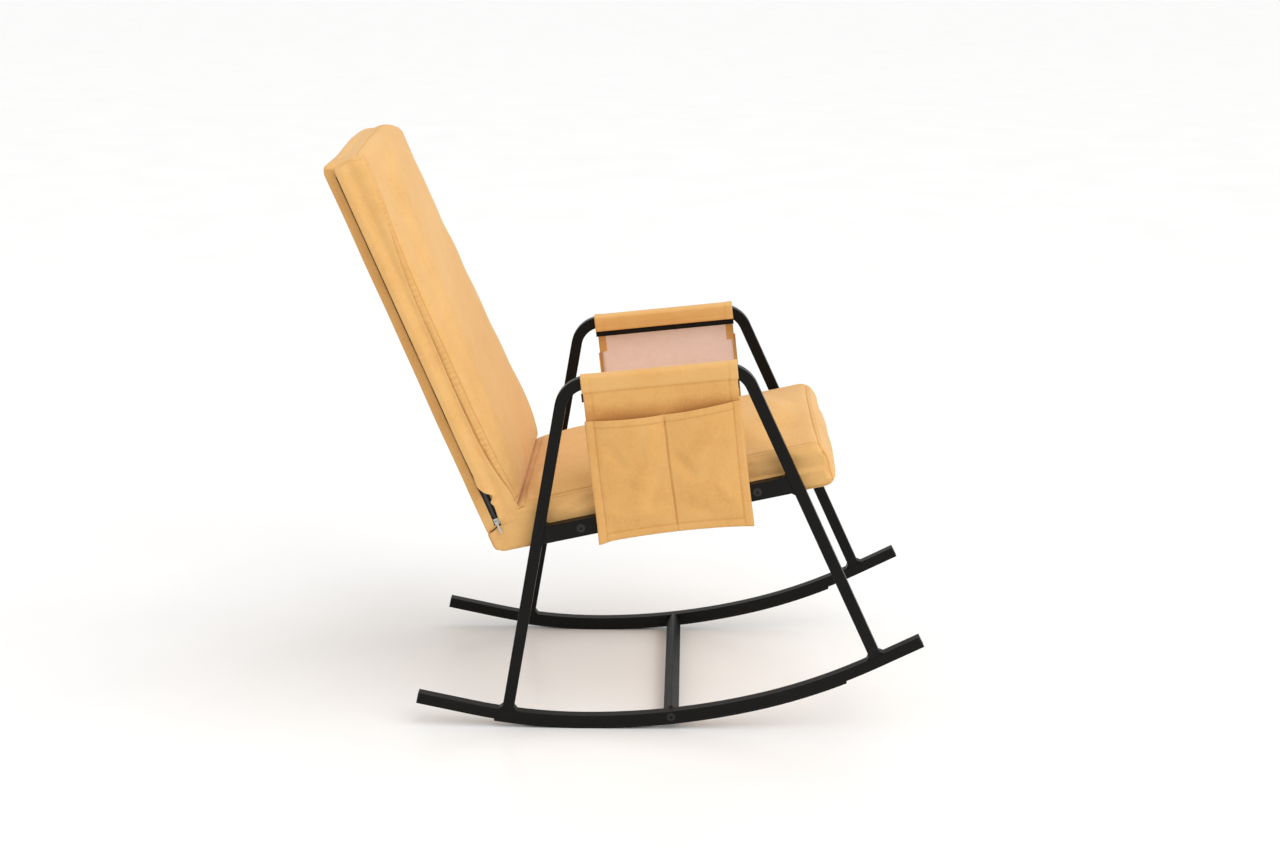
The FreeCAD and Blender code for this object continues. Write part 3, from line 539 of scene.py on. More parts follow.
def plain(name, base, rough, metallic=0.0, grain=300.0, bump_mm=0.3, spread=0.35, spec=0.5, stretch=(1, 1, 1)):
    """A material whose colour, gloss and surface vary with a grain."""
    m, nt, b = nodes_of(name)
    vec = mapped(nt, 0.0, stretch)
    g = noise_node(nt, vec, grain, 4.0, 0.6)
    c = noise_node(nt, vec, grain * 0.05, 3.0, 0.5)
    f = math_node(nt, "MULTIPLY_ADD", g, 0.5, math_node(nt, "MULTIPLY", c, 0.5))
    lo, hi = tuple(x * (1 - spread) for x in base), tuple(min(1, x * (1 + spread)) for x in base)
    link(nt, ramp(nt, f, [(0.25, lo), (0.5, base), (0.75, hi)]), b.inputs["Base Color"])
    link(nt, math_node(nt, "MULTIPLY_ADD", g, 0.2, rough - 0.1), b.inputs["Roughness"])
    b.inputs["Metallic"].default_value = metallic
    b.inputs["Specular IOR Level"].default_value = spec
    bump = nt.nodes.new("ShaderNodeBump")
    bump.inputs["Strength"].default_value = 0.4
    bump.inputs["Distance"].default_value = bump_mm / 1000
    link(nt, g, bump.inputs["Height"])
    link(nt, bump.outputs[0], b.inputs["Normal"])
    return m


LIGHT, MID, DEEP = (0.79, 0.53, 0.245), (0.735, 0.425, 0.152), (0.585, 0.285, 0.085)
M_SEAT = cloth_material("velour_seat", LIGHT, MID, DEEP, 12.65)
M_BACK = cloth_material("velour_back", LIGHT, MID, DEEP, -22.38)
M_ARM = cloth_material("velour_arm", (0.76, 0.475, 0.19), (0.71, 0.385, 0.125), (0.545, 0.245, 0.068), 6.04, mottle=11.0)
M_LINING = cloth_material("rose_lining", (0.93, 0.80, 0.76), (0.90, 0.72, 0.66), (0.80, 0.58, 0.49), 6.04, pitch=2.2, weave=0.7, nap=0.25, sheen=0.1, use_painted_shading=False)
M_THREAD = plain("thread", (0.62, 0.35, 0.12), 0.7, grain=2400.0, bump_mm=0.1)
M_STEEL = painted_steel("black_powder_coat", (0.0060, 0.0056, 0.0050), 0.36, 0.0)
M_WELD = painted_steel("painted_weld", (0.008, 0.0075, 0.007), 0.42, 0.0, 0.8)
M_RUBBER = plain("black_rubber", (0.010, 0.010, 0.010), 0.8, grain=900.0, bump_mm=0.3, spec=0.15)
M_PLUG = plain("black_plug", (0.010, 0.010, 0.011), 0.5, grain=700.0, bump_mm=0.15, spec=0.25)
M_BOLT = plain("black_oxide", (0.020, 0.019, 0.018), 0.4, 0.3, grain=500.0, bump_mm=0.1, spec=0.3)
M_ZINC = plain("zinc_steel", (0.6, 0.6, 0.62), 0.35, 1.0, grain=500.0, bump_mm=0.1)
M_NICKEL = plain("nickel", (0.50, 0.49, 0.46), 0.28, 1.0, grain=800.0, bump_mm=0.05, spread=0.12)
M_WOOD = plain("plywood", (0.62, 0.46, 0.28), 0.7, grain=260.0, bump_mm=0.4, stretch=(1, 0.12, 0.12))
M_FOAM = plain("foam", (0.85, 0.82, 0.72), 0.95, grain=500.0, bump_mm=0.8, spread=0.12, spec=0.1)
M_TAPE = plain("zipper_tape", (0.018, 0.017, 0.016), 0.85, grain=1500.0, bump_mm=0.3, spec=0.2)
M_COIL = plain("zipper_coil", (0.03, 0.028, 0.026), 0.5, grain=700.0, bump_mm=0.2)
M_HOOK = plain("hook_tape", (0.018, 0.018, 0.018), 0.9, grain=2200.0, bump_mm=0.8, spec=0.2)

SLOT_MATERIAL = {"black_steel": M_STEEL, "black_rubber": M_RUBBER, "black_plastic": M_PLUG, "black_bolt": M_BOLT,
                 "zinc_steel": M_ZINC, "plywood": M_WOOD, "foam": M_FOAM, "mustard_velour": M_ARM, "rose_lining": M_LINING,
                 "zipper_tape": M_TAPE, "zipper_coil": M_COIL, "nickel": M_NICKEL, "hook_tape": M_HOOK}
for part in frame["record"]["subparts"]:
    o = NODES[part["node"]]
    mat = M_WELD if part["node"].startswith("weld_beads") else SLOT_MATERIAL[part["material_slot"]]
    if not o.data.materials:
        o.data.materials.append(mat)
    for ms in o.material_slots:
        ms.material = mat

# ---------------------------------------------------------------------------
# Seat cushion
# ---------------------------------------------------------------------------
SPLIT_T, CREASE_S = 37.45, 63.22


def seat_lo(t):
    """Where the seat begins, at height t: its rear face, then the face under the back."""
    t = np.asarray(t, float)
    return np.where(t < SPLIT_T, -0.1714 * t, -6.42 + (t - SPLIT_T) * 1.599)


def seat_shape(x0, t0, s0):
    """Box coordinates to the sewn cushion's shape, before simulation."""
    x1, t1 = round2(x0, t0, -HALF, HALF, 0.0, SEAT_T, (9.0, 17.0, 9.0, 17.0))
    lo = seat_lo(t0)
    s1, t2 = round2(s0, t1, lo, SEAT_L, 0.0, SEAT_T, (16.0, 13.0, 23.0, 31.0))
    x2, s2 = round2(x1, s1, -HALF, HALF, lo, SEAT_L, (2.5, 13.0, 2.5, 13.0))
    k = x2 / HALF
    along = smooth(s2, 30, 130) * (1 - 0.20 * smooth(s2, 540, 603))
    t3 = t2 + 13.5 * (1 - abs(k)**2.4) * along * smooth(t2, 20, 70)
    # the nose stands out between its corners, and the sides draw in above the frame
    s3 = s2 + 5.0 * (1 - k**4) * smooth(s2, 560, 600) * np.sin(np.pi * np.clip(t2 / SEAT_T, 0, 1))
    draw = 2.6 * np.sin(np.pi * np.clip((s2 - 60) / 520, 0, 1)) * smooth(t2, 30, 48) * (1 - smooth(t2, 66, 81))
    x3 = x2 - np.sign(x2) * draw * smooth(abs(x2), 180, 219)
    return x3, t3, s3


def seat_pos(x0, t0, s0):
    x, t, s = seat_shape(np.asarray(x0, float), np.asarray(t0, float), np.asarray(s0, float))
    return seat(x, t, s)


def crest(d, w):
    return np.exp(-(d / w) ** 2)


def build_cushion(name, xs, ts, ls, lo_fn, hi, pos, pin_fn, shrink_fn, cap, mat, start):
    """Lattice, simulation, subdivision. Returns the object, its rest points and box coordinates."""
    ijk, faces = lattice(len(xs), len(ts), len(ls))
    x0, t0 = xs[ijk[:, 0]], ts[ijk[:, 1]]
    lo = lo_fn(t0)
    l0 = lo + (hi - lo) * ls[ijk[:, 2]]
    rest = pos(x0, t0, l0)
    faces = outward(rest, faces)
    d = np.zeros_like(rest)
    d = puff(rest, faces, pin_fn(x0, t0, l0), shrink_fn(x0, t0, l0), **start)
    d = soft_cap(calm(d, faces, 14), cap)
    o = new_mesh(name, rest + d, faces, [mat])
    put_attribute(o.data, "rest", rest)
    put_attribute(o.data, "boxed", np.stack([x0, t0, l0], 1))
    subdivide(o, 1)
    return o, get_attribute(o.data, "rest"), get_attribute(o.data, "boxed")


def hold_sides(p, axes, origin, limit):
    """Keeps the cloth off the steel beside it: flat where it presses on the frame."""
    x, a, b = to_local(p, axes, origin)
    over = np.maximum(abs(x) - (limit - 1.2), 0)
    lim = (limit - 1.2) + 1.2 * (1 - np.exp(-over / 1.2))
    nx = np.where(over > 0, np.sign(x) * lim, x)
    q = p.copy()
    q[:, 0] = nx / 1000
    return q


xs_seat = np.concatenate([steps(-HALF, 0, 44, 0, 3.4, 9.0), -steps(-HALF, 0, 44, 0, 3.4, 9.0)[::-1][1:]])
ts_seat = steps(0.0, SEAT_T, 14, 30, 2.8, 3.6)
ls_seat = (steps(0.0, 600.0, 60, 64, 3.6, 7.5)) / 600.0

Q_SEAT_TOP = -200.1                      # boxing seam, on the top's rounded edge
S_FRONT = 591.0                          # front seam, in box coordinates


def seat_pin(x0, t0, s0):
    low = 1 - smooth(t0, 0, 34)
    under = (1 - smooth(s0 - seat_lo(t0), 0, 6))
    return np.clip(np.maximum(low, under), 0, 1)


def seat_shrink(x0, t0, s0):
    a = crest(abs(x0) - 203, 7) * (t0 > 60)
    b = crest(s0 - S_FRONT, 8) * (t0 > 60)
    c = crest(np.hypot(abs(x0) - HALF, s0 - 598), 9)
    return np.clip(a + b + c, 0, 1)


seat_cushion, seat_rest, seat_box = build_cushion(
    "seat_cushion", xs_seat, ts_seat, ls_seat, seat_lo, SEAT_L, seat_pos, seat_pin, seat_shrink, 0.009, M_SEAT,
    dict(pressure=3.0))

seam_rows = []                           # (points, normals) for the thread pieces


def seat_path(pts, step=0.003):
    """A path through box coordinates (x, t, s), on the rest surface."""
    pts = np.array(pts, float)
    seg = np.concatenate([[0], np.cumsum(np.linalg.norm(np.diff(pts, axis=0), axis=1))])
    k = np.linspace(0, seg[-1], max(2, int(seg[-1] / 2.5)))
    q = [np.interp(k, seg, pts[:, i]) for i in range(3)]
    return resample(seat_pos(*q), step)


seat_seams = {}
for sg, nm in ((-1, "right"), (1, "left")):
    seat_seams["boxing_" + nm] = seat_path([(sg * 200.1, 81, 74), (sg * 200.1, 81, S_FRONT)])
    seat_seams["corner_" + nm] = seat_path([(sg * 200.1, 81, S_FRONT), (sg * 214, 81, 594), (sg * 219.5, 72, 597), (sg * 219.5, 40, 599), (sg * 219.5, 4, 599)])
    seat_seams["lower_" + nm] = seat_path([(sg * 219.5, 3.0, 60), (sg * 219.5, 3.0, 590)])
seat_seams["front"] = seat_path([(-200.1, 81, S_FRONT), (200.1, 81, S_FRONT)])

sp = coords(seat_cushion.data)
sn_ = normals(seat_cushion.data)
disp = np.zeros(len(sp))
painted_shading = np.zeros(len(sp))
for nm, path in seat_seams.items():
    d, s = near_path(seat_rest, path, 0.02)
    depth = {"front": 1.5, "boxing": 1.5, "corner": 1.4, "lower": 1.0}[nm.split("_")[0]]
    disp -= depth * crest(d, 0.0021)
    disp += 0.45 * crest(d - 0.0062, 0.0035) * (0.7 + 0.3 * np.sin(s * 520 + 2.0 * np.sin(s * 61)))
    # painted shade: the seam grooves are darkened in colour
    painted_shading -= 0.30 * crest(d, 0.0016)
# soft dents and folds on the sides, and slack ripples behind the knees and at the crease
x_, t_, s_ = seat_box.T
split = s_ - seat_lo(t_)
disp -= (abs(x_) > 219) * crest(split, 4.6) * 5.0 * smooth(t_, 34, 50)
# painted shade: darker colour in the crease where the rear face turns under the back
painted_shading -= (abs(x_) > 219) * 0.55 * crest(split, 3.0)


def fold(a, b, pa, pb, width, depth, ends=0.25):
    """A long dent from pa to pb in the plane of (a, b), mm."""
    (ax, ay), (bx, by) = pa, pb
    ln = math.hypot(bx - ax, by - ay)
    tx, ty = (bx - ax) / ln, (by - ay) / ln
    k = ((a - ax) * tx + (b - ay) * ty) / ln
    d = (a - ax) * -ty + (b - ay) * tx
    return depth * crest(d, width) * smooth(k, -0.02, ends) * (1 - smooth(k, 1 - ends, 1.02))


side = smooth(abs(x_), 214, 219) * smooth(t_, 2, 12)
near = side * (x_ < 0)
far = side * (x_ > 0)
disp -= near * fold(s_, t_, (118, 44), (236, 84), 9.0, 3.6)
disp += near * fold(s_, t_, (112, 62), (190, 88), 7.0, 1.6)
disp -= near * fold(s_, t_, (70, 30), (160, 48), 7.0, 2.0)
disp -= near * fold(s_, t_, (430, 70), (560, 60), 8.0, 1.6)
disp -= near * fold(s_, t_, (300, 60), (380, 40), 9.0, 2.0)
disp -= far * fold(s_, t_, (140, 50), (260, 72), 10.0, 3.0)
disp -= far * fold(s_, t_, (380, 62), (500, 48), 9.0, 2.2)
for i, (b0, off) in enumerate(((24, 0), (38, 8), (52, 14))):
    disp -= side * fold(s_, t_, (30 + off, 44 + i * 12), (86 + off, 40 + i * 6), 3.4, 1.6, 0.5)
top = smooth(t_, 78, 81) * (abs(x_) < 214)
disp -= top * 1.1 * (1 - smooth(s_, 70, 190)) * (0.5 + 0.5 * np.sin(x_ / 17.0 + 1.4 * np.sin(x_ / 53.0) + s_ / 90.0))
disp += noise(seat_rest, 0.055, 1) * 0.45 + noise(seat_rest, 0.13, 2) * 0.8 * top
sp = sp + sn_ * (disp / 1000)[:, None]
sp = hold_sides(sp, (SS, SN), C0, HALF)
# underside stays flat on the frame, and the sides outside the tubes within
x, a, b = to_local(sp, (SS, SN))
b2 = np.maximum(b, 0.15)
by_tube = smooth(t_, 6, 10) * (1 - smooth(t_, 36, 46)) * (abs(x_) > 219) * (s_ < 590)
x = np.sign(x) * (abs(x) + by_tube * np.maximum(218.6 - abs(x), 0))
sp = seat(x, b2, a)
set_coords(seat_cushion.data, sp)
put_painted_shading(seat_cushion.data, painted_shading)
skin = Skin(seat_rest, seat_cushion.data)
rows = []
for nm, path in seat_seams.items():
    if nm.startswith("lower"):
        continue
    rows.append(skin.place(path))
for sg in (-1, 1):
    rows.append(skin.place(seat_path([(sg * 209.5, 81, 80), (sg * 209.5, 81, 590)])))
rows.append(skin.place(seat_path([(-196, 81, 599), (196, 81, 599)])))
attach(seat_cushion, "chair")
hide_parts("seat_cover", "seat_foam")
seat_thread = stitch_piece("seat_thread", rows, M_THREAD, seat_cushion)

# ---------------------------------------------------------------------------
# Back cushion
# ---------------------------------------------------------------------------


def back_lo(r):
    return 38.0 + 0.4098 * np.asarray(r, float)


def back_shape(x0, r0, b0):
    x1, r1 = round2(x0, r0, -HALF, HALF, 0.0, BACK_T, (8.0, 23.0, 8.0, 23.0))
    lo = back_lo(r0)
    b1, r2 = round2(b0, r1, lo, BACK_L, 0.0, BACK_T, (4.0, 14.0, 10.0, 25.0))
    x2, b2 = round2(x1, b1, -HALF, HALF, lo, BACK_L, (2.5, 20.0, 2.5, 20.0))
    k = x2 / HALF
    up = np.clip((b2 - 60) / 664, 0, 1)
    r3 = r2 + 8.0 * (1 - k**2) * smooth(b2, 60, 150) * (1 - 0.3 * smooth(b2, 640, 724)) * smooth(r2, 25, 70)
    # the top rises between its corners, and the sides draw in between top and crease
    b3 = b2 + (17.0 * (1 - abs(k) ** 2.8) * (1 + 0.40 * k) - 1.5 * k**6) * smooth(b2, 640, 722) * smooth(r2, 4, 30)
    draw = 2.0 * np.sin(np.pi * up) * smooth(r2, 26, 44) * (1 - smooth(r2, 62, 76))
    x3 = x2 - np.sign(x2) * draw * smooth(abs(x2), 180, 219)
    return x3, r3, b3


def back_pos(x0, r0, b0):
    x, r, b = back_shape(np.asarray(x0, float), np.asarray(r0, float), np.asarray(b0, float))
    return back(x, r, b)


xs_back = np.concatenate([steps(-HALF, 0, 50, 0, 3.2, 9.0), -steps(-HALF, 0, 50, 0, 3.2, 9.0)[::-1][1:]])
rs_back = steps(0.0, BACK_T, 8, 40, 3.0, 3.4)
lb_back = steps(0.0, 660.0, 50, 60, 3.4, 6.5) / 660.0

# front seam along the side, as a distance round the section from the rear edge
SEAM_Q = [(50, 80), (69, 78), (92, 72), (130, 61), (165, 55.5), (279, 52), (371, 53), (453, 53.5), (520, 57), (556, 61), (620, 71), (690, 82), (724, 86)]


def q_to_box(q):
    """Distance round half the section to box coordinates (distance in from the side, r)."""
    q = np.asarray(q, float)
    return np.maximum(q - BACK_T, 0.0), np.minimum(q, BACK_T)


def back_pin(x0, r0, b0):
    rear = 1 - smooth(r0, 0, 24)
    low = 1 - smooth(b0 - back_lo(r0), 0, 7)
    return np.clip(np.maximum(rear, low), 0, 1)


def section_q(x0, r0):
    """Distance round the section from the rear edge, on the front and side faces."""
    inn = HALF - abs(x0)
    return np.where(inn < 0.01, r0, np.where(r0 > BACK_T - 0.01, BACK_T + inn, 1e3))


def back_shrink(x0, r0, b0):
    q = section_q(x0, r0)
    qs = table(b0, SEAM_Q)
    a = crest(q - qs - 6, 9)
    c = crest(b0 - 716, 9) * (r0 > 50)
    return np.clip(a + 0.7 * c, 0, 1)


back_cushion, back_rest, back_box = build_cushion(
    "back_cushion", xs_back, rs_back, lb_back, back_lo, BACK_L, back_pos, back_pin, back_shrink, 0.008, M_BACK,
    dict(pressure=2.6))


def back_line(sg, b, q):
    """Rest points along a side at heights b and distances q round the section."""
    inn, r = q_to_box(q)
    return back_pos(sg * (HALF - inn), r, np.asarray(b, float))


bb_ = np.linspace(72, 722, 240)
back_seams = {}
for sg, nm in ((-1, "right"), (1, "left")):
    qs = table(bb_, SEAM_Q)
    back_seams["side_" + nm] = resample(back_line(sg, bb_, qs), 0.003)
    back_seams["top_" + nm] = resample(back_line(sg, np.full(30, 720.0), np.linspace(30, 86, 30)), 0.003)
back_seams["topfront"] = resample(back_pos(np.linspace(-205, 205, 160), np.full(160, 62.0), np.full(160, 724.0)), 0.003)
band_rows = {sg: resample(back_line(sg, bb_, table(bb_, SEAM_Q) + 20), 0.003) for sg in (-1, 1)}

bp = coords(back_cushion.data)
bn_ = normals(back_cushion.data)
disp = np.zeros(len(bp))
painted_shading = np.zeros(len(bp))
x_, r_, b_ = back_box.T
for nm, path in back_seams.items():
    d, s = near_path(back_rest, path, 0.03)
    kind = nm.split("_")[0]
    depth = {"side": 1.5, "top": 0.9, "topfront": 0.7}[kind]
    disp -= depth * crest(d, 0.0021)
    # painted shade: the seam grooves are darkened in colour
    painted_shading -= {"side": 0.10, "top": 0.14, "topfront": 0.06}[kind] * crest(d, 0.0016)
q = section_q(x_, r_)
dq = q - table(b_, SEAM_Q)
band = smooth(dq, 0, 3) * (1 - smooth(dq, 16, 20))
pucker = np.sin(b_ / 1.55 + 1.2 * np.sin(b_ / 9.0) + 0.05 * q) * (0.6 + 0.4 * np.sin(b_ / 23.0))
disp += band * (0.35 + 0.34 * pucker)
# painted light and shade on the band's puckers: lighter on their crests, darker in their hollows, and the band a little
# darker overall
painted_shading += band * (0.09 * pucker - 0.05)
disp -= 0.8 * crest(dq - 20, 2.2) * (b_ > 70)
# painted shade in the topstitch groove
painted_shading -= 0.10 * crest(dq - 20, 1.8) * (b_ > 70)
split = b_ - back_lo(r_)
disp -= (abs(x_) > 219) * crest(split, 4.6) * 5.0 * smooth(r_, 24, 40)
# painted shade: darker colour in the crease at the cushion's lower edge
painted_shading -= (abs(x_) > 219) * 0.55 * crest(split, 3.0)
# painted shade on the near side's rear strip, under the placket's overhang
painted_shading -= 0.20 * (x_ < -219) * (1 - smooth(r_, 20, 24)) * smooth(b_, 60, 120)
# slack folds low on the back, where it meets the seat, and at the lower corners
front = smooth(r_, 74, 76) * (abs(x_) < 213)
low = 1 - smooth(b_, 80, 230)
disp -= front * low * 1.5 * (0.5 + 0.5 * np.sin(x_ / 15.0 + 1.7 * np.sin(x_ / 47.0) + b_ / 70.0))
disp += front * fold(x_, b_, (-150, 90), (-196, 250), 12, 1.8) + front * fold(x_, b_, (150, 90), (190, 240), 12, 1.6)
sidef = smooth(abs(x_), 215, 219.4)
for i in range(5):
    disp -= sidef * fold(r_, b_, (30 + 3 * i, 62 + 5 * i), (62 + 3 * i, 84 + 17 * i), 2.6, 1.1, 0.5)
disp -= sidef * fold(r_, b_, (46, 130), (62, 210), 5, 1.2) + sidef * fold(r_, b_, (44, 330), (60, 430), 6, 0.9)
disp += noise(back_rest, 0.055, 3) * 0.3 + noise(back_rest, 0.16, 4) * 0.45 * smooth(r_, 60, 76)
rear = 1 - smooth(r_, 0, 1)
disp += rear * (noise(back_rest, 0.11, 5) * 0.7 + 0.5)
bp = bp + bn_ * (disp / 1000)[:, None]
bp = hold_sides(bp, (BN, BD), C0, HALF + 0.2)
x, r, b = to_local(bp, (BN, BD))
r = np.maximum(r, -2.5)
# the side is held flat over the inner frame, and lies under the zipper's tape
tape_zone = smooth(b, 40, 46) * (1 - smooth(b, 702, 712)) * (1 - smooth(r, 32, 40)) * smooth(r, 16.5, 18.5)
x = np.where(x < -200, x * (1 - tape_zone) + np.maximum(x, -219.2) * tape_zone, x)
by_tube = (abs(x_) > 219) * (1 - smooth(r_, 26, 34))
x = np.sign(x) * (abs(x) + by_tube * np.maximum(218.5 - abs(x), 0))
# its rear edge is rolled over the tape
roll = smooth(b, 44, 56) * (1 - smooth(b, 698, 712)) * crest(r - 16.6, 3.0) * (x < -200)
x = x - 1.7 * roll * (r < 20.6)
# below the slider the cloth closes over the tape's end
end = smooth(b, 36, 43) * (1 - smooth(b, 48.6, 50.2)) * crest(r - 25.5, 8.5) * (x < -200)
x = np.where(end > 0.02, np.minimum(x, -219.3 - 2.4 * np.minimum(1, 1.6 * end)), x)
bp = back(x, r, b)
set_coords(back_cushion.data, bp)
put_painted_shading(back_cushion.data, painted_shading)
skin = Skin(back_rest, back_cushion.data)
rows = [skin.place(p) for nm, p in back_seams.items() if nm != "side_right"]
rows += [skin.place(band_rows[sg]) for sg in (-1, 1)]
sq = np.array([(62, 704), (78, 704), (78, 720), (62, 720), (62, 704)], float)
rows.append(skin.place(resample(back_line(-1, *[np.interp(np.linspace(0, 4, 60), range(5), sq[:, i]) for i in (1, 0)]), 0.003)))
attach(back_cushion, "chair")
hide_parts("back_cover", "back_foam")
back_thread = stitch_piece("back_thread", rows, M_THREAD, back_cushion)

# ---- placket over the zipper: a folded strip from the front seam to a free edge
FREE_R = [(44, 30.5), (52, 31.0), (62, 32.0), (74, 33.5), (84, 34.0), (93, 32.0), (99, 37.5), (104, 39.0), (110, 30.5), (119, 23.8), (150, 22.4), (300, 21.9), (500, 21.8), (640, 21.8), (716, 22.0)]
pb = np.concatenate([np.linspace(46, 125, 60), np.linspace(127, 717, 213)])


def placket_section(b):
    """Outer line of the strip from its free edge to the seam: (r, out from the side)."""
    rf = float(table(b, FREE_R))
    qs = float(table(b, SEAM_Q)) - 1.0
    qe = min(qs, 90.0)
    top = 8.2 * (1 - smooth(b, 710, 717)) * smooth(b, 44, 60) + 0.4
    curl = 2.2 * crest(b - 101, 9)
    n = 16
    rr = rf + (qe - rf) * np.linspace(0, 1, n) ** 1.15
    k = (rr - max(rf, 24.0)) / max(44.0 - max(rf, 24.0), 3.0)
    out = 0.5 + top * (1 - smooth(k, 0.25, 1.15)) + curl * crest(rr - rf, 6)
    out = out + 0.35 * np.sin(b / 9.0 + rr / 11.0) * smooth(rr, rf, rf + 10) * (1 - smooth(rr, qe - 8, qe))
    return rr, out


verts, ring = [], None
T = 1.5
for b in pb:
    rr, out = placket_section(b)
    inn, r = q_to_box(rr)
    base = back_shape(-(HALF - inn), r, np.full(len(rr), b))
    c = np.stack([base[0] - out, base[1], base[2]], 1)
    # outward direction of the section in (x, r)
    t = np.gradient(c[:, :2], axis=0)
    nrm = np.stack([-t[:, 1], t[:, 0]], 1)
    nrm /= np.linalg.norm(nrm, axis=1, keepdims=True)
    outer = c.copy()
    inner = c.copy()
    inner[:, :2] -= nrm * T
    edge = (outer[0] + inner[0]) / 2
    edge[1] -= 0.7
    loop = np.concatenate([[edge], outer, inner[::-1]])
    ring = len(loop)
    verts.append(back(loop[:, 0], loop[:, 1], loop[:, 2]))
verts = np.concatenate(verts)
faces = []
n = len(pb)
for i in range(n - 1):
    for j in range(ring):
        a, b2 = i * ring + j, i * ring + (j + 1) % ring
        faces.append((a, b2, b2 + ring, a + ring))
faces.append(tuple(range(ring - 1, -1, -1)))
faces.append(tuple(range((n - 1) * ring, n * ring)))
placket = new_mesh("zip_placket", verts, faces, [M_BACK])
put_painted_shading(placket.data, np.zeros(len(placket.data.vertices)))
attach(placket, "chair")

# ---------------------------------------------------------------------------
# Arm organisers
# ---------------------------------------------------------------------------
BOT = [(0.0, 295.0), (60.0, 290.0), (132.0, 286.5), (200.0, 286.5), (264.0, 288.5)]
MOUTH = [(0.0, 78.0), (60.0, 78.5), (132.0, 78.0), (200.0, 72.0), (264.0, 65.5)]


def strip_solid(name, outer, nrm, thick, mats, closed_ends=True):
    """A closed sheet from a grid of points (rows, columns, 3) and its normals."""
    nr, nc = outer.shape[:2]
    inner = outer - nrm * (thick if np.ndim(thick) == 0 else thick[..., None])
    verts = np.concatenate([outer.reshape(-1, 3), inner.reshape(-1, 3)])
    off = nr * nc
    ids = np.arange(nr * nc).reshape(nr, nc)
    q = np.stack([ids[:-1, :-1], ids[:-1, 1:], ids[1:, 1:], ids[1:, :-1]], -1).reshape(-1, 4)
    faces = [tuple(f) for f in q] + [tuple(f[::-1] + off) for f in q]
    rim = np.concatenate([ids[0, :-1], ids[:-1, -1], ids[-1, :0:-1], ids[:0:-1, 0]])
    for a, b in zip(rim, np.roll(rim, -1)):
        faces.append((b, a, a + off, b + off))
    f4 = np.array(faces)
    v = verts[f4]
    vol = (np.einsum("ij,ij->i", v[:, 0], np.cross(v[:, 1], v[:, 2])) + np.einsum("ij,ij->i", v[:, 0], np.cross(v[:, 2], v[:, 3]))).sum()
    if vol < 0:
        faces = [tuple(reversed(f)) for f in faces]
    return new_mesh(name, verts, faces, mats)


def grid_normals(g):
    du = np.gradient(g, axis=0)
    dv = np.gradient(g, axis=1)
    n = np.cross(du, dv)
    return n / np.maximum(np.linalg.norm(n, axis=-1, keepdims=True), 1e-12)


def wrap_path(n=150):
    """Centre line of the arm cloth in (x out from the middle of the chair, w)."""
    pts = [(216.9, 30.0), (216.2, 22.0), (216.3, 12.0), (216.9, 5.2), (219.0, 2.0), (223.0, 0.7), (230.0, 0.3),
           (237.0, 0.7), (241.0, 2.0), (243.0, 5.4), (243.4, 12.0), (243.4, 20.0), (243.4, 27.2), (243.35, 40.0)]
    pts += [(243.3, w) for w in np.arange(52.0, 290.0, 12.0)] + [(243.3, 291.0)]
    pts = np.array(pts, float)
    d = np.concatenate([[0], np.cumsum(np.linalg.norm(np.diff(pts, axis=0), axis=1))])
    # the rounded stretch over the tube gets closer rows than the hanging one
    k = np.concatenate([np.linspace(0, 96, int(n * 0.42), endpoint=False), np.linspace(96, d[-1], n - int(n * 0.42))])
    return np.stack([np.interp(k, d, pts[:, 0]), np.interp(k, d, pts[:, 1])], 1), k


def dents(a, w, seed):
    """Soft folds of the hanging cloth, mm, outward positive."""
    p = np.stack([a / 1000, w / 1000, np.zeros_like(a)], -1)
    return noise(p, 0.11, seed) * 0.9 + noise(p, 0.045, seed + 1) * 0.25


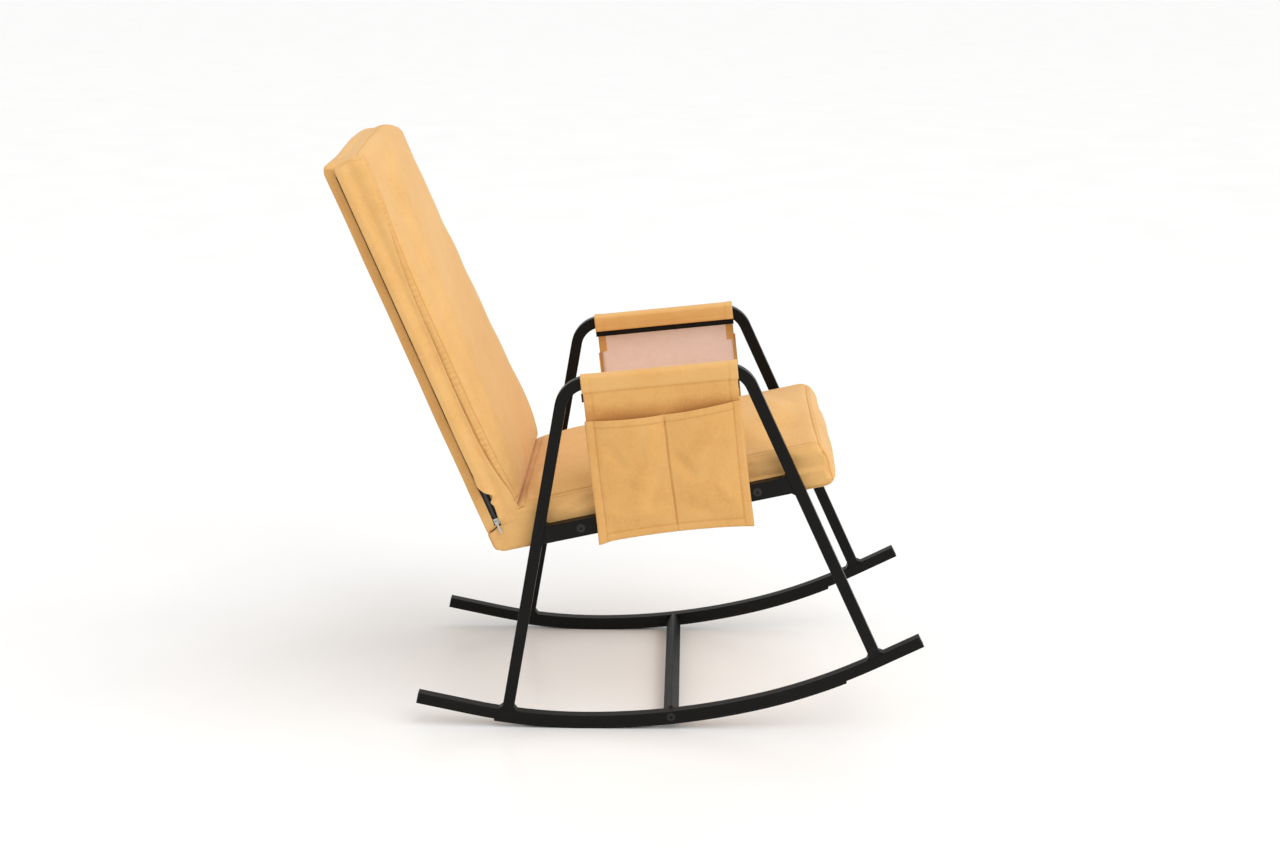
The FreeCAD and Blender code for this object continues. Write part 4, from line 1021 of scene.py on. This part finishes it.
def build_arm(sg, nm, seed):
    flap = "pocket_flap_" + nm
    # --- outer cloth: inner skirt, over the tube, down the outside ----------
    path, k = wrap_path()
    aa = np.concatenate([np.linspace(0, 20, 9), np.linspace(24, WRAP_L - 24, 60), np.linspace(WRAP_L - 20, WRAP_L, 9)])
    X = np.repeat(path[:, :1], len(aa), 1)
    W = np.repeat(path[:, 1:], len(aa), 1)
    A = np.repeat(aa[None, :], len(path), 0)
    hang = smooth(W, 44, 110) * (X > 240)
    # bottom edge follows its own line
    scale = table(aa, BOT)[None, :] / 291.0
    W = np.where((X > 240) & (W > 60), 60 + (W - 60) * (table(aa, BOT)[None, :] - 60) / 231.0, W)
    d = dents(A, W, seed)
    X = X + hang * 0.35 * d
    # the cloth is drawn in under the sleeve's seam and its hems are doubled
    sleeve = (X > 240) * crest(W - 29.5, 2.4)
    X = X - 0.6 * sleeve
    hem = 1 - smooth(A, 12.5, 14.5) + smooth(A, WRAP_L - 14.5, WRAP_L - 12.5)
    groove = crest(A - 14.2, 1.3) + crest(A - (WRAP_L - 14.2), 1.3)
    skirt = (X < 219) * crest(W - 21.5, 1.6)
    proud = (X > 240) * (1 - smooth(W, 28.4, 30.2))
    lift = 0.5 * hem - 0.35 * groove - 0.35 * skirt + 0.8 * proud
    # hem pucker along its stitches
    lift = lift + 0.12 * hem * np.sin(k[:, None] / 1.9)
    wave = 0.5 * np.sin(A / 33.0 + seed) * (X < 219) * smooth(W, 14, 30)
    A = A + (X > 240) * (1 - A / 132.0) * 1.8 * smooth(W, 28.5, 31.5)
    pts = arm(sg * (X + wave), W, A + 0.5 * np.sin(W / 31.0 + seed) * hang)
    nrm = grid_normals(pts)
    ref = pts[len(path) // 2, len(aa) // 2, 0] * 0 + sg
    mid = nrm[-5, len(aa) // 2, 0]
    if mid * sg < 0:
        nrm = -nrm
    outer = pts + nrm * (lift / 1000)[..., None]
    cloth = strip_solid("arm_cloth_" + nm, outer, nrm, 0.0010, [M_ARM])
    arm(sg * 243, 22.0, 132).tolist()
    arm(sg * 243, 33.0, 132).tolist()
    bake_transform(cloth)
    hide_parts("arm_wrap_" + nm, "pocket_back_panel_" + nm)
    # painted shade in the hem grooves and under the sleeve's seam, painted light on the cloth above the seam, and
    # painted shade on the outside towards the pocket mouth
    shade = -0.16 * groove - 0.14 * sleeve + 0.10 * (1 - smooth(W, 27, 30)) - 0.34 * (X > 240) * smooth(W, 44, 76)
    arm_painted_shading = np.concatenate([shade.ravel(), np.zeros(outer[..., 0].size)])
    put_painted_shading(cloth.data, arm_painted_shading)

    # --- lining behind it ---------------------------------------------------
    ww = np.linspace(28.6, 288.0, 70)
    al = np.linspace(5.5, WRAP_L - 5.5, 40)
    W2, A2 = np.meshgrid(ww, al, indexing="ij")
    W2 = np.where(W2 > 60, 60 + (W2 - 60) * (table(al, BOT)[None, :] - 66) / 228.0, W2)
    X2 = 241.72 + 0.35 * dents(A2, W2, seed) * smooth(W2, 44, 110)
    g = arm(sg * X2, W2, A2)
    nr = grid_normals(g)
    if nr[30, 20, 0] * sg > 0:
        nr = -nr
    lining = strip_solid("pocket_lining_cloth_" + nm, g, nr, -0.0004, [M_LINING])
    put_painted_shading(lining.data, np.zeros(len(lining.data.vertices)))
    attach(lining, flap)
    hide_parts("pocket_lining_" + nm)

    # --- pocket front -------------------------------------------------------
    ap = np.concatenate([np.linspace(-1, 16, 12), np.linspace(18, 126, 42), np.linspace(127.5, 138.5, 10), np.linspace(141, WRAP_L - 18, 42), np.linspace(WRAP_L - 16, WRAP_L + 1, 12)])
    kk = np.concatenate([np.linspace(0, 0.075, 12), np.linspace(0.082, 0.925, 70), np.linspace(0.932, 1.0, 14)])
    K, A3 = np.meshgrid(kk, ap, indexing="ij")
    m0, b0 = table(A3, MOUTH), table(A3, BOT)
    # the rear lower corner hangs a little lower, the front one is pulled forward
    b0 = b0 + 3.0 * crest(A3 - 0, 14) + 0.5 * crest(A3 - 264, 12)
    W3 = m0 + (b0 - m0) * K
    left, right = 14.5, WRAP_L - 13.0
    cx = 133.0 + 3.0 * (K - 0.1)
    fill = np.where(A3 < cx, np.sin(np.pi * np.clip((A3 - left) / (cx - left), 0, 1)), np.sin(np.pi * np.clip((A3 - cx) / (right - cx), 0, 1)))
    fill = np.clip(fill, 0, 1) ** 0.8
    belly = (1 - smooth(K, 0.80, 0.955)) * (0.62 + 0.38 * (1 - smooth(K, 0.0, 0.35)))
    X3 = 245.4 + 8.4 * fill * belly
    # dents: hollows that lean from the mouth to the seams
    X3 = X3 - 3.6 * fold(A3, W3, (28, 244), (78, 190), 12, 1.0) - 4.4 * fold(A3, W3, (88, 250), (124, 168), 10, 1.0)
    X3 = X3 - 4.4 * fold(A3, W3, (142, 144), (180, 200), 10, 1.0) - 3.6 * fold(A3, W3, (176, 200), (240, 126), 11, 1.0)
    X3 = X3 - 3.2 * fold(A3, W3, (146, 236), (210, 262), 10, 1.0) - 3.0 * fold(A3, W3, (26, 112), (62, 176), 11, 1.0)
    X3 = X3 + 2.6 * fold(A3, W3, (118, 92), (94, 164), 9, 1.0) + 2.2 * fold(A3, W3, (206, 200), (248, 254), 11, 1.0)
    X3 = X3 + fill * belly * (0.7 * dents(A3, W3, seed + 5))
    # centre seam: two close grooves with a raised fold between them
    cs = crest(A3 - cx, 1.3)
    lift = -1.1 * cs + 0.6 * (crest(A3 - cx - 3.4, 1.6) + crest(A3 - cx + 3.4, 1.6)) * smooth(K, 0.04, 0.08)
    lift = lift + 0.25 * crest(A3 - cx, 9) * np.sin(W3 / 2.4 + 0.6 * np.sin(W3 / 11)) * smooth(abs(A3 - cx), 1, 3)
    # side and bottom bindings, and the turned hem at the mouth
    sideb = (1 - smooth(A3, 12.8, 14.6)) + smooth(A3, WRAP_L - 14.4, WRAP_L - 12.6)
    botb = smooth(K, 0.928, 0.937)
    bind = np.clip(sideb + botb, 0, 1)
    gr = crest(A3 - 14.4, 1.2) + crest(A3 - (WRAP_L - 13.2), 1.2) + crest((K - 0.933) * 210, 1.4) * (1 - sideb)
    mouth_hem = 1 - smooth(W3 - m0, 11.8, 13.0)
    mouth_gr = crest(W3 - m0 - 12.4, 1.1) * (1 - sideb)
    lift = lift + 0.9 * bind - 0.7 * gr + 0.45 * mouth_hem * (1 - sideb) - 0.5 * mouth_gr
    lift = lift + 0.16 * bind * np.sin(W3 / 2.1 + A3 / 2.3) + 0.12 * mouth_hem * np.sin(A3 / 1.9)
    edge_in = crest(A3 + 1, 2.2) + crest(A3 - WRAP_L - 1, 2.2) + crest((1 - K) * 215, 2.2)
    X3 = X3 + lift - 1.5 * np.clip(edge_in, 0, 1)
    # flared lower corners
    X3 = X3 + 2.0 * crest(np.hypot(A3, (1 - K) * 210), 22) + 2.6 * crest(np.hypot(A3 - WRAP_L, (1 - K) * 210), 24)
    g = arm(sg * X3, W3, A3 + 0.9 * np.sin(W3 / 37.0 + seed) * smooth(K, 0.1, 0.9) + 1.6 * crest(A3 - WRAP_L, 20) * smooth(K, 0.75, 1.0))
    nr = grid_normals(g)
    if nr[40, 30, 0] * sg < 0:
        nr = -nr
    # the bindings close the gap to the cloth behind; elsewhere it is one thin layer
    thick = 0.0010 + 0.0010 * bind
    front = strip_solid("pocket_front_cloth_" + nm, g, nr, thick, [M_ARM])
    # painted shade in the binding, mouth-hem and centre-seam grooves
    pocket_painted_shade = -0.14 * gr - 0.16 * mouth_gr - 0.16 * cs * smooth(K, 0.03, 0.06)
    put_painted_shading(front.data, np.concatenate([pocket_painted_shade.ravel(), pocket_painted_shade.ravel() * 0]))
    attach(front, flap)
    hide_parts("pocket_front_panel_" + nm, "pocket_seam_strips_" + nm)

    # --- thread -------------------------------------------------------------
    def line_on(gr_, nn_, rowsel=None, colsel=None, at=None):
        return gr_[rowsel, colsel] if at is None else at

    def from_grid(g_, n_, a_of, w_of, A_, W_, count):
        """Thread path over a sheet's grid at (a, w) places."""
        t = np.linspace(0, 1, count)
        ta, tw = a_of(t), w_of(t)
        out, no = [], []
        flat = np.stack([A_.ravel(), W_.ravel()], 1)
        for x_a, x_w in zip(ta, tw):
            i = np.argmin((flat[:, 0] - x_a) ** 2 + (flat[:, 1] - x_w) ** 2)
            j = np.argsort((flat[:, 0] - x_a) ** 2 + (flat[:, 1] - x_w) ** 2)[:4]
            ww_ = 1 / (np.linalg.norm(flat[j] - (x_a, x_w), axis=1) + 0.05)
            ww_ = ww_ / ww_.sum()
            xx = (g_.reshape(-1, 3)[j, 0] * ww_).sum()
            nv = (n_.reshape(-1, 3)[j] * ww_[:, None]).sum(0)
            p = arm(0.0, x_w, x_a)
            out.append([xx, p[1], p[2]])
            no.append(nv / np.linalg.norm(nv))
        return resample_pair(np.array(out), np.array(no))

    trows = []
    trows.append(from_grid(g, nr, lambda t: 14.4 + 0 * t, lambda t: 70 + 206 * t, A3, W3, 70))
    trows.append(from_grid(g, nr, lambda t: WRAP_L - 13.2 + 0 * t, lambda t: 66 + 206 * t, A3, W3, 70))
    for off in (-1.9, 1.9):
        trows.append(from_grid(g, nr, lambda t, o=off: 133.0 + o + 3.0 * t, lambda t: 80 + 194 * t, A3, W3, 64))
    trows.append(from_grid(g, nr, lambda t: 14 + 236 * t, lambda t: table(14 + 236 * t, MOUTH) + 12.4, A3, W3, 76))
    trows.append(from_grid(g, nr, lambda t: 14 + 236 * t, lambda t: table(14 + 236 * t, MOUTH) + (table(14 + 236 * t, BOT) - table(14 + 236 * t, MOUTH)) * 0.933, A3, W3, 76))
    thread = stitch_piece("pocket_thread_" + nm, trows, M_THREAD, front)


def resample_pair(p, n):
    d = np.concatenate([[0], np.cumsum(np.linalg.norm(np.diff(p, axis=0), axis=1))])
    k = max(2, int(d[-1] / 0.003))
    t = np.linspace(0, d[-1], k)
    return (np.stack([np.interp(t, d, p[:, i]) for i in range(3)], 1), np.stack([np.interp(t, d, n[:, i]) for i in range(3)], 1))


build_arm(-1, "right", 1)
build_arm(1, "left", 4)

# ---------------------------------------------------------------------------
# Camera, light, floor
# ---------------------------------------------------------------------------
cam_data = bpy.data.cameras.new("camera")
cam = bpy.data.objects.new("camera", cam_data)
bpy.context.scene.collection.objects.link(cam)
F = Vector((0.96095, 0.02703, -0.27541)).normalized()
R = Vector((0.02812, -0.99960, 0.0)).normalized()
Uv = R.cross(F).normalized()
cam.matrix_world = Matrix(((R.x, Uv.x, -F.x, -3.2391), (R.y, Uv.y, -F.y, -0.0990), (R.z, Uv.z, -F.z, 1.4162), (0, 0, 0, 1)))
cam_data.sensor_width = 36.0
cam_data.sensor_fit = "HORIZONTAL"
cam_data.lens = 52.116
cam_data.clip_start, cam_data.clip_end = 0.05, 100.0
bpy.context.scene.camera = cam


def area(name, loc, target, size, power, color=(1, 1, 1)):
    d = bpy.data.lights.new(name, "AREA")
    d.shape = "RECTANGLE"
    d.size, d.size_y = size
    d.energy = power
    d.color = color
    o = bpy.data.objects.new(name, d)
    bpy.context.scene.collection.objects.link(o)
    o.location = loc
    o.rotation_euler = (Vector(target) - Vector(loc)).to_track_quat("-Z", "Y").to_euler()
    return o


def sun(name, toward, strength, angle, color):
    d = bpy.data.lights.new(name, "SUN")
    d.energy, d.angle, d.color = strength, math.radians(angle), color
    o = bpy.data.objects.new(name, d)
    bpy.context.scene.collection.objects.link(o)
    o.rotation_euler = (-Vector(toward)).to_track_quat("-Z", "Y").to_euler()
    return o


sun("key", (-0.30, -0.48, 0.82), 1.55, 60, (1.0, 0.99, 0.975))
area("edge", (-2.6, -1.2, 2.2), (0, 0, 0.35), (1.2, 1.2), 7, (1.0, 1.0, 1.0))

floor_mesh = new_mesh("floor", [(-80, -80, 0), (80, -80, 0), (80, 80, 0), (-80, 80, 0)], [(0, 1, 2, 3)], [], False)
mf, nt, bs = nodes_of("pale_floor")
vec = mapped(nt)
g = noise_node(nt, vec, 3.0, 3.0, 0.5)
link(nt, ramp(nt, g, [(0.3, (0.90, 0.90, 0.90)), (0.7, (0.93, 0.93, 0.93))]), bs.inputs["Base Color"])
link(nt, math_node(nt, "MULTIPLY_ADD", g, 0.08, 0.26), bs.inputs["Roughness"])
bs.inputs["Specular IOR Level"].default_value = 0.35
floor_mesh.data.materials.append(mf)

world = bpy.data.worlds.new("studio")
bpy.context.scene.world = world
world.use_nodes = True
bg = world.node_tree.nodes["Background"]
bg.inputs[0].default_value = (1.0, 1.0, 1.0, 1)
bg.inputs[1].default_value = 0.78
bpy.context.scene.view_settings.view_transform = "Standard"
